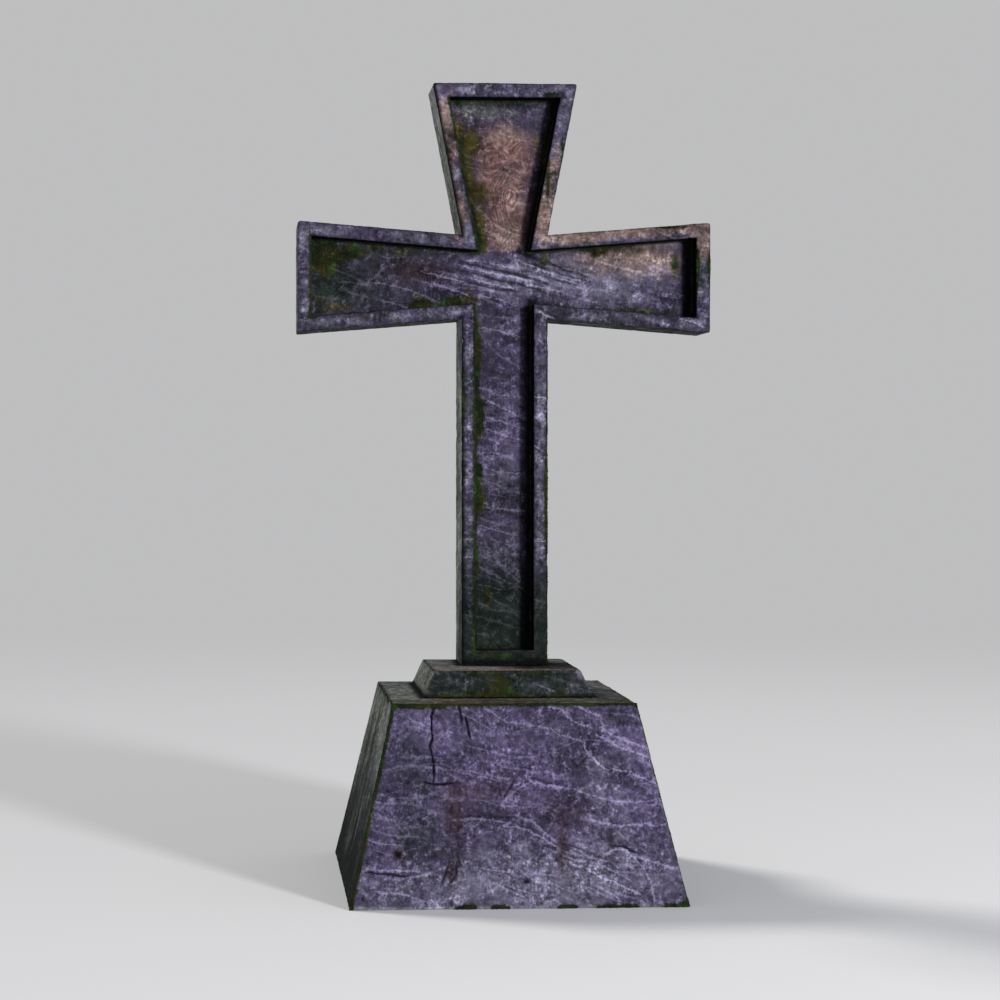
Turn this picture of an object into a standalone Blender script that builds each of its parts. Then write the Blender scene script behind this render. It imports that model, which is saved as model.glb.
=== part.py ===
# A grave marker in stone: a cross with a sunk panel, on a low step, on a tapered plinth.
# Metres, +Z up. The origin is at the middle of the plinth's underside, and the carved face looks along -Y.
# The plan is worked out downwards: each stone reaches past the one above by the ledges named here.
import math

import bmesh
import bpy
from mathutils import Matrix, Vector

# The cross, its heights measured from its foot
CROSS_HEIGHT = 1.100
CROSS_THICKNESS = 0.113
SHAFT_WIDTH = 0.165
ARM_SPAN = 0.786
ARM_AXIS_HEIGHT = 0.734
ARM_ROOT_HEIGHT = 0.160
ARM_END_HEIGHT = 0.210
TOP_ARM_WIDTH = 0.276

# The sunk panel that follows the outline of the cross
RIM_WIDTH = 0.0275
PANEL_DEPTH = 0.040

# The step, and how far its top reaches past the foot of the cross
STEP_HEIGHT = 0.0475
STEP_SPREAD = 0.0195
STEP_LEDGE_LEFT = 0.064
STEP_LEDGE_RIGHT = 0.048
STEP_LEDGE_FRONT = 0.119
STEP_LEDGE_BACK = 0.026

# The plinth, and how far its top reaches past the foot of the step
PLINTH_HEIGHT = 0.352
PLINTH_SPREAD = 0.081
PLINTH_LEDGE_LEFT = 0.065
PLINTH_LEDGE_RIGHT = 0.061
PLINTH_LEDGE_FRONT = 0.110
PLINTH_LEDGE_BACK = 0.036

# Worn edges, and the broken corner at the right of the step's front
CROSS_EDGE_WEAR = 0.0030
STEP_EDGE_WEAR = 0.0040
PLINTH_EDGE_WEAR = 0.0050
WEAR_SEGMENTS = 2
BREAK_RADIUS = 0.014
BREAK_REACH = 0.004

# Stones that rest on each other keep this gap
BED_GAP = 0.0003

# How far the panel's cutter stands out of the stone that it cuts
CUTTER_REACH = 0.020
WELD_DISTANCE = 0.00001
FLAT_ANGLE = math.radians(1.0)
WEAR_ANGLE = math.radians(20.0)

STONE_COLOUR = {
    "plinth": (0.085, 0.072, 0.125, 1.0),
    "step": (0.048, 0.048, 0.052, 1.0),
    "cross": (0.075, 0.065, 0.100, 1.0),
}
STONE_ROUGHNESS = 0.85


class Plan:
    """A rectangle seen from above."""

    def __init__(self, left, right, front, back):
        self.left = left
        self.right = right
        self.front = front
        self.back = back

    def grown(self, left, right, front, back):
        return Plan(self.left - left, self.right + right, self.front - front, self.back + back)

    def spread(self, every_side):
        return self.grown(every_side, every_side, every_side, every_side)

    def moved(self, x, y):
        return Plan(self.left + x, self.right + x, self.front + y, self.back + y)

    def corner(self, x_sign, y_sign):
        x = self.right if x_sign > 0 else self.left
        y = self.back if y_sign > 0 else self.front
        return x, y

    def centre(self):
        return (self.left + self.right) / 2, (self.front + self.back) / 2


def stone_plans():
    """The plans of the stones from the foot of the cross down, with the plinth's foot centred on the origin."""
    cross_foot = Plan(-SHAFT_WIDTH / 2, SHAFT_WIDTH / 2, -CROSS_THICKNESS / 2, CROSS_THICKNESS / 2)
    step_top = cross_foot.grown(STEP_LEDGE_LEFT, STEP_LEDGE_RIGHT, STEP_LEDGE_FRONT, STEP_LEDGE_BACK)
    step_foot = step_top.spread(STEP_SPREAD)
    plinth_top = step_foot.grown(
        PLINTH_LEDGE_LEFT, PLINTH_LEDGE_RIGHT, PLINTH_LEDGE_FRONT, PLINTH_LEDGE_BACK
    )
    plinth_foot = plinth_top.spread(PLINTH_SPREAD)
    x, y = plinth_foot.centre()
    plans = {
        "cross_foot": cross_foot,
        "step_top": step_top,
        "step_foot": step_foot,
        "plinth_top": plinth_top,
        "plinth_foot": plinth_foot,
    }
    return {name: plan.moved(-x, -y) for name, plan in plans.items()}


def clear_scene():
    for leftover in list(bpy.data.objects):
        bpy.data.objects.remove(leftover, do_unlink=True)


def new_collection(name):
    collection = bpy.data.collections.new(name)
    bpy.context.scene.collection.children.link(collection)
    return collection


def stone_material(name):
    material = bpy.data.materials.new(name + "_stone")
    material.use_nodes = True
    shader = material.node_tree.nodes["Principled BSDF"]
    shader.inputs["Base Color"].default_value = STONE_COLOUR[name]
    shader.inputs["Roughness"].default_value = STONE_ROUGHNESS
    shader.inputs["Metallic"].default_value = 0.0
    material.diffuse_color = STONE_COLOUR[name]
    return material


def mesh_object(name, shape, collection):
    """Turns a bmesh into a named object in the collection."""
    mesh = bpy.data.meshes.new(name)
    shape.to_mesh(mesh)
    shape.free()
    stone = bpy.data.objects.new(name, mesh)
    collection.objects.link(stone)
    return stone


def tapered_block(name, foot, top, base, height, collection):
    """A cube whose lower corners are moved to one plan and whose upper corners to another."""
    shape = bmesh.new()
    bmesh.ops.create_cube(shape, size=height)
    for vertex in shape.verts:
        plan = top if vertex.co.z > 0 else foot
        x, y = plan.corner(vertex.co.x, vertex.co.y)
        z = base + height if vertex.co.z > 0 else base
        vertex.co = Vector((x, y, z))
    return mesh_object(name, shape, collection)


def wear_edges(stone, width):
    bevel = stone.modifiers.new("worn edges", "BEVEL")
    bevel.width = width
    bevel.segments = WEAR_SEGMENTS
    bevel.limit_method = "ANGLE"
    bevel.angle_limit = WEAR_ANGLE
    bevel.use_clamp_overlap = True
    return bevel


def cut(stone, cutter):
    cutter.hide_render = True
    cutter.display_type = "WIRE"
    boolean = stone.modifiers.new("cut by " + cutter.name, "BOOLEAN")
    boolean.operation = "DIFFERENCE"
    boolean.solver = "EXACT"
    boolean.object = cutter


def cross_outline():
    """The outline of the cross as (x, height) points, from the foot's left corner, clockwise seen from the front."""
    shaft = SHAFT_WIDTH / 2
    arm = ARM_SPAN / 2
    root = ARM_ROOT_HEIGHT / 2
    end = ARM_END_HEIGHT / 2
    left_side = [
        (-shaft, 0.0),
        (-shaft, ARM_AXIS_HEIGHT - root),
        (-arm, ARM_AXIS_HEIGHT - end),
        (-arm, ARM_AXIS_HEIGHT + end),
        (-shaft, ARM_AXIS_HEIGHT + root),
        (-TOP_ARM_WIDTH / 2, CROSS_HEIGHT),
    ]
    right_side = [(-x, height) for x, height in reversed(left_side)]
    return left_side + right_side


def line_crossing(start_a, along_a, start_b, along_b):
    """The point where two straight lines in a plane meet."""
    determinant = along_a.x * along_b.y - along_a.y * along_b.x
    between = start_b - start_a
    reach = (between.x * along_b.y - between.y * along_b.x) / determinant
    return start_a + along_a * reach


def inset_outline(points, distance):
    """The outline moved inwards by a distance; the points run clockwise, so inwards is to the right."""
    corners = [Vector(point) for point in points]
    edges = []
    for here, there in zip(corners, corners[1:] + corners[:1]):
        along = (there - here).normalized()
        inwards = Vector((along.y, -along.x))
        edges.append((here + inwards * distance, along))
    return [line_crossing(*edges[index - 1], *edges[index]) for index in range(len(edges))]


def flat_solid(name, points, thickness, front, foot_middle, collection):
    """A flat curve in the shape of the points, filled and thickened, then stood upright as a mesh."""
    curve = bpy.data.curves.new(name + " outline", "CURVE")
    curve.dimensions = "2D"
    curve.fill_mode = "BOTH"
    curve.extrude = thickness / 2
    spline = curve.splines.new("POLY")
    spline.points.add(len(points) - 1)
    for spline_point, (x, height) in zip(spline.points, points):
        spline_point.co = (x, height, 0.0, 1.0)
    spline.use_cyclic_u = True

    drawn = bpy.data.objects.new(name + " outline", curve)
    collection.objects.link(drawn)
    x, z = foot_middle
    upright = Matrix.Rotation(math.pi / 2, 4, "X")
    drawn.matrix_world = Matrix.Translation((x, front + thickness / 2, z)) @ upright
    bpy.context.view_layer.update()
    evaluated = drawn.evaluated_get(bpy.context.evaluated_depsgraph_get())
    mesh = bpy.data.meshes.new_from_object(evaluated)

    shape = bmesh.new()
    shape.from_mesh(mesh)
    bpy.data.meshes.remove(mesh)
    bmesh.ops.remove_doubles(shape, verts=shape.verts, dist=WELD_DISTANCE)
    bmesh.ops.dissolve_limit(shape, angle_limit=FLAT_ANGLE, verts=shape.verts, edges=shape.edges)
    bmesh.ops.transform(shape, matrix=drawn.matrix_world, verts=shape.verts)
    bmesh.ops.recalc_face_normals(shape, faces=shape.faces)
    bpy.data.objects.remove(drawn, do_unlink=True)
    return mesh_object(name, shape, collection)


def make_plinth(plans, stones):
    plinth = tapered_block("plinth", plans["plinth_foot"], plans["plinth_top"], 0.0, PLINTH_HEIGHT, stones)
    wear_edges(plinth, PLINTH_EDGE_WEAR)
    return plinth


def make_step(plans, stones, cutters):
    base = PLINTH_HEIGHT + BED_GAP
    step = tapered_block("step", plans["step_foot"], plans["step_top"], base, STEP_HEIGHT, stones)
    wear_edges(step, STEP_EDGE_WEAR)

    x, y = plans["step_top"].corner(1, -1)
    shape = bmesh.new()
    bmesh.ops.create_icosphere(shape, subdivisions=1, radius=BREAK_RADIUS)
    middle = Vector((x + BREAK_REACH, y - BREAK_REACH, base + STEP_HEIGHT + BREAK_REACH))
    bmesh.ops.translate(shape, vec=middle, verts=shape.verts)
    cut(step, mesh_object("broken corner", shape, cutters))
    return step


def make_cross(plans, stones, cutters):
    foot = plans["cross_foot"]
    base = PLINTH_HEIGHT + BED_GAP + STEP_HEIGHT + BED_GAP
    foot_middle = (foot.centre()[0], base)
    outline = cross_outline()
    cross = flat_solid("cross", outline, CROSS_THICKNESS, foot.front, foot_middle, stones)
    panel = flat_solid(
        "sunk panel",
        inset_outline(outline, RIM_WIDTH),
        PANEL_DEPTH + CUTTER_REACH,
        foot.front - CUTTER_REACH,
        foot_middle,
        cutters,
    )
    cut(cross, panel)
    wear_edges(cross, CROSS_EDGE_WEAR)
    return cross


def main():
    clear_scene()
    stones = new_collection("tombstone")
    cutters = new_collection("cutters")
    plans = stone_plans()
    made = [make_plinth(plans, stones), make_step(plans, stones, cutters), make_cross(plans, stones, cutters)]
    for stone in made:
        stone.data.materials.append(stone_material(stone.name))


main()
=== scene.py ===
# The looks of a weathered grave marker: a stone cross with a sunk panel, on a low step, on a tapered plinth.
# Metres, +Z up, in the frame's own place. The carved face looks along -Y.
import math

import bmesh
import bpy
import numpy as np
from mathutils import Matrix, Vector, noise


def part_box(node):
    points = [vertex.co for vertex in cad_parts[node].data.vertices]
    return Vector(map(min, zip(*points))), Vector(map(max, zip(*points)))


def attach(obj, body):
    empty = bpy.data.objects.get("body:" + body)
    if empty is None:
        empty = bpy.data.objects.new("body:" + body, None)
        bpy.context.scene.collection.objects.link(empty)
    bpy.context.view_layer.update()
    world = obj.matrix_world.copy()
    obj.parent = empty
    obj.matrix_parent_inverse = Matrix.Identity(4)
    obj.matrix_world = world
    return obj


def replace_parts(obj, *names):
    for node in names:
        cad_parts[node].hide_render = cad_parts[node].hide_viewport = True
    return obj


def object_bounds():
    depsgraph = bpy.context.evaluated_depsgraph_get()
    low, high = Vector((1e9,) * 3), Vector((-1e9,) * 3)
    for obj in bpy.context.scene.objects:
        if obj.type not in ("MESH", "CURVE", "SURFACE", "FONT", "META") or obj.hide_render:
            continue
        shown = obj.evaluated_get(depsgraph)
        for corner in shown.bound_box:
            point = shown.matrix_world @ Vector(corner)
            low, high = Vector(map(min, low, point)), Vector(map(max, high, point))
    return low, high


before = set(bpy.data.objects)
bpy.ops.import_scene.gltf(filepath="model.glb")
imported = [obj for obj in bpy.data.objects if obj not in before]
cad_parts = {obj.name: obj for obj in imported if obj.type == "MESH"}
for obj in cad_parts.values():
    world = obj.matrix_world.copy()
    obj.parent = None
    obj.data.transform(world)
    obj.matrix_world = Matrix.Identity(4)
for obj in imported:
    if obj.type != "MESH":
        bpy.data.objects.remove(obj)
cad_low, cad_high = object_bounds()

# The cross, in the sizes of its solid; its span, height and thickness come from the frame
SHAFT_WIDTH = 0.165
ARM_AXIS_HEIGHT = 0.734
ARM_ROOT_HEIGHT = 0.160
ARM_END_HEIGHT = 0.210
TOP_ARM_WIDTH = 0.276
RIM_WIDTH = 0.0275
PANEL_DEPTH = 0.040

# The tapered blocks: how far the top of each stands inside its foot, on every side
PLINTH_SPREAD = 0.081
STEP_SPREAD = 0.0195
BREAK_RADIUS = 0.015
BREAK_REACH = 0.004

# Worn edges
CROSS_EDGE_WEAR = 0.0022
STEP_EDGE_WEAR = 0.0040
PLINTH_EDGE_WEAR = 0.0038
CORNER_RADII = {2: 0.0045, 3: 0.0070, 5: 0.0060, 6: 0.0050, 8: 0.0060, 9: 0.0050}

# How finely each stone is divided
PLINTH_DIVISIONS = (150, 84, 112)
STEP_DIVISIONS = (116, 60, 20)
CROSS_CELL = 0.0066
WELD_DISTANCE = 0.00002

# The bedding of the stone: its layers run down to the right across the carved face
LAYER_NORMAL = Vector((0.30, 0.20, 0.93)).normalized()

# Families of pale veins: the way they face, their spacing, half their width, and a seed
VEINS = (
    (Vector((0.24, 0.20, 0.95)).normalized(), 0.058, 0.0036, 0.0),
    (Vector((0.42, 0.15, 0.90)).normalized(), 0.074, 0.0030, 1.7),
    (Vector((0.10, 0.25, 0.96)).normalized(), 0.049, 0.0026, 3.1),
)

# The photograph's viewpoint
CAMERA_PLACE = (-0.4856, -4.1714, 0.7723)
CAMERA_YAW = math.radians(3.0)
CAMERA_PITCH = math.radians(0.8193)
CAMERA_LENS = 80.196
CAMERA_SHIFT = 0.14065

# Veins and grooves that are drawn line by line: two sets of veins, so that lines in one set never meet
VEIN_NAMES = ("vein_a", "vein_b")
GROOVE_NAMES = ("groove_a", "groove_b")
VEIN_HALF_WIDTH = 0.0025
VEIN_KINK = 0.012
HAZE_HALF_WIDTH = 0.0110
GROOVE_KINK = 0.010
LINE_FADE = 0.011
CUT_HALF_WIDTH = 0.0030
RAISED_HALF_WIDTH = 0.0034

# How near a drawn line the plinth's faces are divided more finely
DRAWN_REACH = 0.008

# Finish
STONE_GLOSS = 0.03
MOSS_GLOSS = 0.10
BUMP_STRENGTH = 0.55
BUMP_DISTANCE = 0.0011
# Near-black for real dirt and for painted shade in creases, recesses and cast shadows
DIRT_AND_SHADE_COLOUR = (0.0018, 0.0021, 0.0034, 1.0)
GROOVE_SHADE = (0.0045, 0.0040, 0.0065, 1.0)
BLACK = (0.0, 0.0, 0.0, 1.0)
HALVES = (0.5, 0.5, 0.5)


class Net:
    """Adds nodes to one tree. A socket or a plain value can feed any input."""

    def __init__(self, tree):
        self.tree = tree

    def feed(self, socket, value):
        if isinstance(value, bpy.types.NodeSocket):
            self.tree.links.new(value, socket)
        else:
            socket.default_value = value

    def node(self, kind, inputs=None, **settings):
        made = self.tree.nodes.new(kind)
        for name, value in settings.items():
            setattr(made, name, value)
        for name, value in (inputs or {}).items():
            self.feed(made.inputs[name], value)
        return made

    def math(self, operation, *values, clamp=False):
        made = self.node("ShaderNodeMath", operation=operation, use_clamp=clamp)
        for socket, value in zip(made.inputs, values):
            self.feed(socket, value)
        return made.outputs[0]

    def times(self, first, second, clamp=False):
        return self.math("MULTIPLY", first, second, clamp=clamp)

    def plus(self, first, second):
        return self.math("ADD", first, second)

    def minus(self, first, second):
        return self.math("SUBTRACT", first, second)

    def larger(self, first, second):
        return self.math("MAXIMUM", first, second)

    def times_plus(self, value, factor, added):
        return self.math("MULTIPLY_ADD", value, factor, added)

    def vector(self, operation, *values):
        made = self.node("ShaderNodeVectorMath", operation=operation)
        for socket, value in zip(made.inputs, values):
            self.feed(socket, value)
        return made.outputs["Value" if operation in ("DOT_PRODUCT", "LENGTH") else "Vector"]

    def scaled(self, vector, amount):
        made = self.node("ShaderNodeVectorMath", operation="SCALE")
        self.feed(made.inputs[0], vector)
        self.feed(made.inputs["Scale"], amount)
        return made.outputs["Vector"]

    def combine(self, x, y, z):
        return self.node("ShaderNodeCombineXYZ", {"X": x, "Y": y, "Z": z}).outputs[0]

    def step(self, value, low, high):
        """0 below low and 1 above high, with a soft change between; low may be the greater."""
        made = self.node("ShaderNodeMapRange", interpolation_type="SMOOTHSTEP", clamp=True)
        for name, amount in (("Value", value), ("From Min", low), ("From Max", high)):
            self.feed(made.inputs[name], amount)
        return made.outputs["Result"]

    def noise(self, place, scale, detail=2.0, roughness=0.5, distortion=0.0, output="Fac"):
        sizes = {"Scale": scale, "Detail": detail, "Roughness": roughness, "Distortion": distortion}
        made = self.node("ShaderNodeTexNoise", {"Vector": place, **sizes}, noise_dimensions="3D")
        return made.outputs[output]

    def mix(self, share, below, above):
        made = self.node("ShaderNodeMix", data_type="RGBA", clamp_factor=True)
        for socket, value in ((made.inputs[0], share), (made.inputs[6], below), (made.inputs[7], above)):
            self.feed(socket, value)
        return made.outputs[2]


def new_group(name, kind, inputs, outputs):
    """A node tree with named sockets, as (its net, its inputs by name, its output node)."""
    tree = bpy.data.node_groups.new(name, kind)
    for in_out, sockets in (("INPUT", inputs), ("OUTPUT", outputs)):
        for socket_name, (socket_kind, value) in sockets.items():
            kind_name = "NodeSocket" + socket_kind
            socket = tree.interface.new_socket(socket_name, in_out=in_out, socket_type=kind_name)
            if value is not None:
                socket.default_value = value
    net = Net(tree)
    entry = net.node("NodeGroupInput")
    return net, entry.outputs, net.node("NodeGroupOutput")


# Fields that both the relief and the colour read, so that a pale vein is also a raised one
def swaying(net, place, scale, detail, reach):
    """How far a noise pushes each place about: at most half the reach along each axis."""
    sway = net.vector("SUBTRACT", net.noise(place, scale, detail, output="Color"), HALVES)
    return net.scaled(sway, reach)


def layered_place(net, place, along, across):
    """A place squeezed along the bedding, so that a noise read there runs out into long wavy layers."""
    bent = net.vector("ADD", place, swaying(net, place, 5.0, 2.0, 0.045))
    height = net.vector("DOT_PRODUCT", bent, LAYER_NORMAL)
    upright = net.scaled(tuple(LAYER_NORMAL), net.times(height, across - along))
    return net.vector("ADD", net.scaled(bent, along), upright)


def swayed(net, place):
    """The place pushed about a little, so that what follows the bedding bends."""
    bent = net.vector("ADD", place, swaying(net, place, 6.0, 1.0, 0.060))
    return net.vector("ADD", bent, swaying(net, place, 24.0, 2.0, 0.014))


def sheet_distance(net, bent, normal, spacing, wobble):
    """How far a place is from the nearest of many parallel sheets, from 0 on a sheet to 0.5 between two."""
    along = net.times(net.vector("DOT_PRODUCT", bent, tuple(normal)), 1.0 / spacing)
    part = net.math("FRACT", net.plus(along, wobble))
    return net.minus(0.5, net.math("ABSOLUTE", net.minus(part, 0.5)))


def vein_lines(net, place):
    """Families of thin broken lines that follow the bedding and now and then meet."""
    bent = swayed(net, place)
    lines = None
    for normal, spacing, width, seed in VEINS:
        wobble = net.times(net.noise(place, 3.0 + seed, 1.0), 1.6)
        off_line = sheet_distance(net, bent, normal, spacing, wobble)
        line = net.step(off_line, width / spacing, 0.15 * width / spacing)
        kept = net.step(net.noise(net.vector("ADD", place, (seed, seed, seed)), 7.0, 2.0), 0.45, 0.62)
        line = net.times(line, kept)
        lines = line if lines is None else net.larger(lines, line)
    return lines


def layer_bands(net, place):
    """Broad light and dark bands along the layers."""
    return net.noise(layered_place(net, place, 6.0, 26.0), 1.0, 3.0, 0.6)


def fine_layers(net, place):
    """Close parallel ridges along the layers, about two centimetres apart: 1 on a ridge and 0 between."""
    wobble = net.times(net.noise(place, 9.0, 3.0, 0.6), 2.2)
    off_ridge = sheet_distance(net, swayed(net, place), LAYER_NORMAL, 0.019, wobble)
    return net.times_plus(off_ridge, -2.0, 1.0)


def curled_lines(net, place):
    """Thin lines, nested and curled like the grain of a knot in wood: 1 on a line and 0 between."""
    level = net.times(net.noise(place, 10.0, 2.0, 0.45, 0.9), 24.0)
    off_line = net.math("ABSOLUTE", net.minus(net.math("FRACT", level), 0.5))
    broken = net.times_plus(net.step(net.noise(place, 55.0, 3.0), 0.35, 0.62), 0.75, 0.25)
    return net.times(net.step(off_line, 0.30, 0.02), broken)


def attribute(net, name):
    """A value painted at the vertices, by its name."""
    if net.tree.bl_idname == "GeometryNodeTree":
        named = net.node("GeometryNodeInputNamedAttribute", {"Name": name}, data_type="FLOAT")
        return named.outputs["Attribute"]
    return net.node("ShaderNodeAttribute", attribute_name=name).outputs["Fac"]


def drawn_lines(net, place, names, half_width, kink, sharpness=0.25):
    """The lines that draw_lines kept under these names, kinked by a noise and fading at their ends."""
    stray = net.times(net.minus(net.noise(place, 62.0, 4.0, 0.75), 0.5), kink)
    thickness = net.times(net.step(net.noise(place, 48.0, 3.0, 0.7), 0.25, 0.72), 1.2 * half_width)
    thickness = net.plus(thickness, 0.45 * half_width)
    lines = None
    for name in names:
        off = net.math("ABSOLUTE", net.plus(attribute(net, name + "_side"), stray))
        inner = net.times(thickness, sharpness)
        line = net.times(net.step(off, thickness, inner), attribute(net, name))
        lines = line if lines is None else net.larger(lines, line)
    return lines


# Shader groups
def broken_mask_group():
    """Breaks the soft edge of a painted mask up into an irregular one."""
    inputs = {
        "Place": ("Vector", None),
        "Mask": ("Float", 0.0),
        "Scale": ("Float", 60.0),
        "Raggedness": ("Float", 0.8),
        "Softness": ("Float", 0.15),
    }
    net, given, out = new_group("Broken mask", "ShaderNodeTree", inputs, {"Mask": ("Float", None)})
    ragged = net.minus(net.noise(given["Place"], given["Scale"], 5.0, 0.65), 0.5)
    pushed = net.times_plus(ragged, given["Raggedness"], given["Mask"])
    low = net.minus(0.5, given["Softness"])
    high = net.plus(0.5, given["Softness"])
    net.feed(out.inputs["Mask"], net.step(pushed, low, high))
    return net.tree


def slate_group():
    """Layered stone around one ground colour: mottling, veins, fine streaks and crystalline flecks."""
    inputs = {
        "Place": ("Vector", None),
        "Ground": ("Color", (0.1, 0.1, 0.1, 1.0)),
        "Vein Colour": ("Color", (0.3, 0.3, 0.4, 1.0)),
        "Veins": ("Float", 1.0),
        "Streaks": ("Float", 0.3),
        "Mottle": ("Float", 1.0),
        "Flecks": ("Float", 1.0),
        "Upright": ("Float", 2.0),
        "Drawn Veins": ("Float", 0.0),
        "Haze": ("Float", 0.0),
        "Swirls": ("Float", 0.0),
    }
    outputs = {"Color": ("Color", None), "Height": ("Float", None), "Grain": ("Float", None)}
    net, given, out = new_group("Layered slate", "ShaderNodeTree", inputs, outputs)
    place = given["Place"]

    def around_nought(value):
        return net.minus(value, 0.5)

    mottle = around_nought(net.noise(place, 15.0, 5.0, 0.68, 0.4))
    bands = around_nought(layer_bands(net, place))
    streaks = around_nought(fine_layers(net, place))
    blobs = around_nought(net.noise(place, 96.0, 3.0, 0.75))
    specks = around_nought(net.noise(place, 240.0, 2.0, 0.6))
    patchy = net.times_plus(net.step(net.noise(place, 26.0, 3.0, 0.6), 0.32, 0.68), 0.95, 0.55)
    upright = around_nought(net.noise(net.vector("MULTIPLY", place, (300.0, 300.0, 24.0)), 1.0, 2.0))
    upright = net.times(upright, net.step(net.noise(place, 13.0, 2.0), 0.40, 0.62))
    swirls = net.times(around_nought(curled_lines(net, place)), given["Swirls"])

    shade = net.times(mottle, net.times(given["Mottle"], 3.4))
    shade = net.times_plus(bands, net.times(given["Mottle"], 2.4), shade)
    shade = net.times_plus(streaks, net.times(given["Streaks"], 1.2), shade)
    shade = net.times_plus(swirls, 1.15, shade)
    smoother = net.times_plus(given["Swirls"], -0.5, 1.0)
    amount = net.times(net.times(given["Flecks"], patchy), smoother)
    fine = net.times(blobs, net.times(amount, 5.6))
    fine = net.times_plus(specks, net.times(amount, 2.2), fine)
    fine = net.times_plus(upright, given["Upright"], fine)
    brightness = net.math("POWER", 2.0, net.plus(shade, fine))
    toned = net.scaled(given["Ground"], brightness)

    fleck = net.times(net.step(blobs, 0.06, 0.22), amount)
    broken = net.times_plus(net.step(net.plus(specks, blobs), -0.16, 0.12), 0.66, 0.32)
    line = net.times(vein_lines(net, place), given["Veins"])
    line = net.times(net.larger(line, given["Drawn Veins"]), broken)
    hazy = net.times(given["Haze"], net.step(net.plus(specks, blobs), -0.02, 0.22))
    pale = net.larger(net.times(line, 0.82), net.times(fleck, 0.42))
    pale = net.larger(pale, net.times(hazy, 0.50))
    net.feed(out.inputs["Color"], net.mix(pale, toned, given["Vein Colour"]))
    net.feed(out.inputs["Grain"], brightness)
    raised = net.times_plus(swirls, 0.6, net.times(line, 0.25))
    net.feed(out.inputs["Height"], net.times_plus(fine, 0.30, raised))
    return net.tree


def moss_group():
    """Moss over a stone's colour: dark, olive and fresh green, thin enough for the stone's grain to show."""
    inputs = {
        "Place": ("Vector", None),
        "Stone": ("Color", (0.1, 0.1, 0.1, 1.0)),
        "Grain": ("Float", 1.0),
        "Cover": ("Float", 0.0),
        "Dark": ("Color", (0.007, 0.011, 0.005, 1.0)),
        "Olive": ("Color", (0.018, 0.018, 0.006, 1.0)),
        "Fresh": ("Color", (0.012, 0.028, 0.007, 1.0)),
    }
    net, given, out = new_group("Moss", "ShaderNodeTree", inputs, {"Color": ("Color", None)})
    place = given["Place"]
    olive = net.mix(net.step(net.noise(place, 16.0, 3.0), 0.42, 0.58), given["Dark"], given["Olive"])
    fresh = net.mix(net.step(net.noise(place, 33.0, 4.0, 0.6), 0.50, 0.66), olive, given["Fresh"])
    leafy = net.scaled(fresh, net.times_plus(given["Grain"], 0.80, 0.20))
    net.feed(out.inputs["Color"], net.mix(given["Cover"], given["Stone"], leafy))
    return net.tree


def rain_streak_group():
    """Streaks that rain leaves down the sides of a stone: pale, green and dark."""
    inputs = {
        "Place": ("Vector", None),
        "Stone": ("Color", (0.1, 0.1, 0.1, 1.0)),
        "Share": ("Float", 0.0),
        "Pale": ("Color", (0.135, 0.145, 0.140, 1.0)),
        "Green": ("Color", (0.050, 0.068, 0.024, 1.0)),
        "Dark": ("Color", (0.016, 0.018, 0.019, 1.0)),
    }
    net, given, out = new_group("Rain streaks", "ShaderNodeTree", inputs, {"Color": ("Color", None)})
    place = given["Place"]
    close = net.noise(net.vector("MULTIPLY", place, (34.0, 34.0, 3.0)), 1.0, 4.0, 0.65)
    broad = net.noise(net.vector("MULTIPLY", place, (11.0, 11.0, 2.6)), 1.0, 4.0, 0.6)
    elsewhere = net.vector("ADD", place, (3.0, 5.0, 7.0))
    far = net.noise(net.vector("MULTIPLY", elsewhere, (14.0, 14.0, 3.0)), 1.0, 3.0)
    colour = net.mix(net.step(close, 0.38, 0.60), given["Stone"], given["Pale"])
    colour = net.mix(net.times(net.step(broad, 0.42, 0.66), 0.80), colour, given["Green"])
    colour = net.mix(net.times(net.step(far, 0.50, 0.64), 0.75), colour, given["Dark"])
    net.feed(out.inputs["Color"], net.mix(given["Share"], given["Stone"], colour))
    return net.tree


def edge_wear_group():
    """Rubbed edges, paler than the stone, in short broken lengths."""
    inputs = {
        "Place": ("Vector", None),
        "Stone": ("Color", (0.1, 0.1, 0.1, 1.0)),
        "Edge": ("Float", 0.0),
        "Rubbed": ("Color", (0.3, 0.28, 0.36, 1.0)),
        "Amount": ("Float", 0.6),
    }
    net, given, out = new_group("Edge wear", "ShaderNodeTree", inputs, {"Color": ("Color", None)})
    broken = net.step(net.noise(given["Place"], 70.0, 4.0, 0.7), 0.38, 0.62)
    share = net.times(net.times(given["Edge"], broken), given["Amount"], clamp=True)
    net.feed(out.inputs["Color"], net.mix(share, given["Stone"], given["Rubbed"]))
    return net.tree


def place_group(net, group, inputs):
    made = net.node("ShaderNodeGroup", node_tree=group)
    for name, value in inputs.items():
        net.feed(made.inputs[name], value)
    return made


# The tints that lie over the stone's ground, as (mask name, colour, scale, raggedness, softness)
TINTS = (
    ("weathered", (0.104, 0.110, 0.102, 1.0), 34.0, 0.9, 0.30),
    ("chalky_and_lit", (0.175, 0.185, 0.172, 1.0), 30.0, 1.2, 0.40),
    ("pale", (0.100, 0.093, 0.132, 1.0), 44.0, 1.7, 0.36),
    ("blush", (0.110, 0.063, 0.059, 1.0), 30.0, 0.6, 0.30),
    ("sand", (0.148, 0.111, 0.099, 1.0), 46.0, 1.3, 0.42),
    ("rust", (0.022, 0.013, 0.016, 1.0), 50.0, 1.2, 0.55),
    ("damp", (0.010, 0.014, 0.012, 1.0), 42.0, 0.9, 0.42),
    ("olive", (0.038, 0.032, 0.009, 1.0), 60.0, 1.3, 0.34),
)


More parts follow.
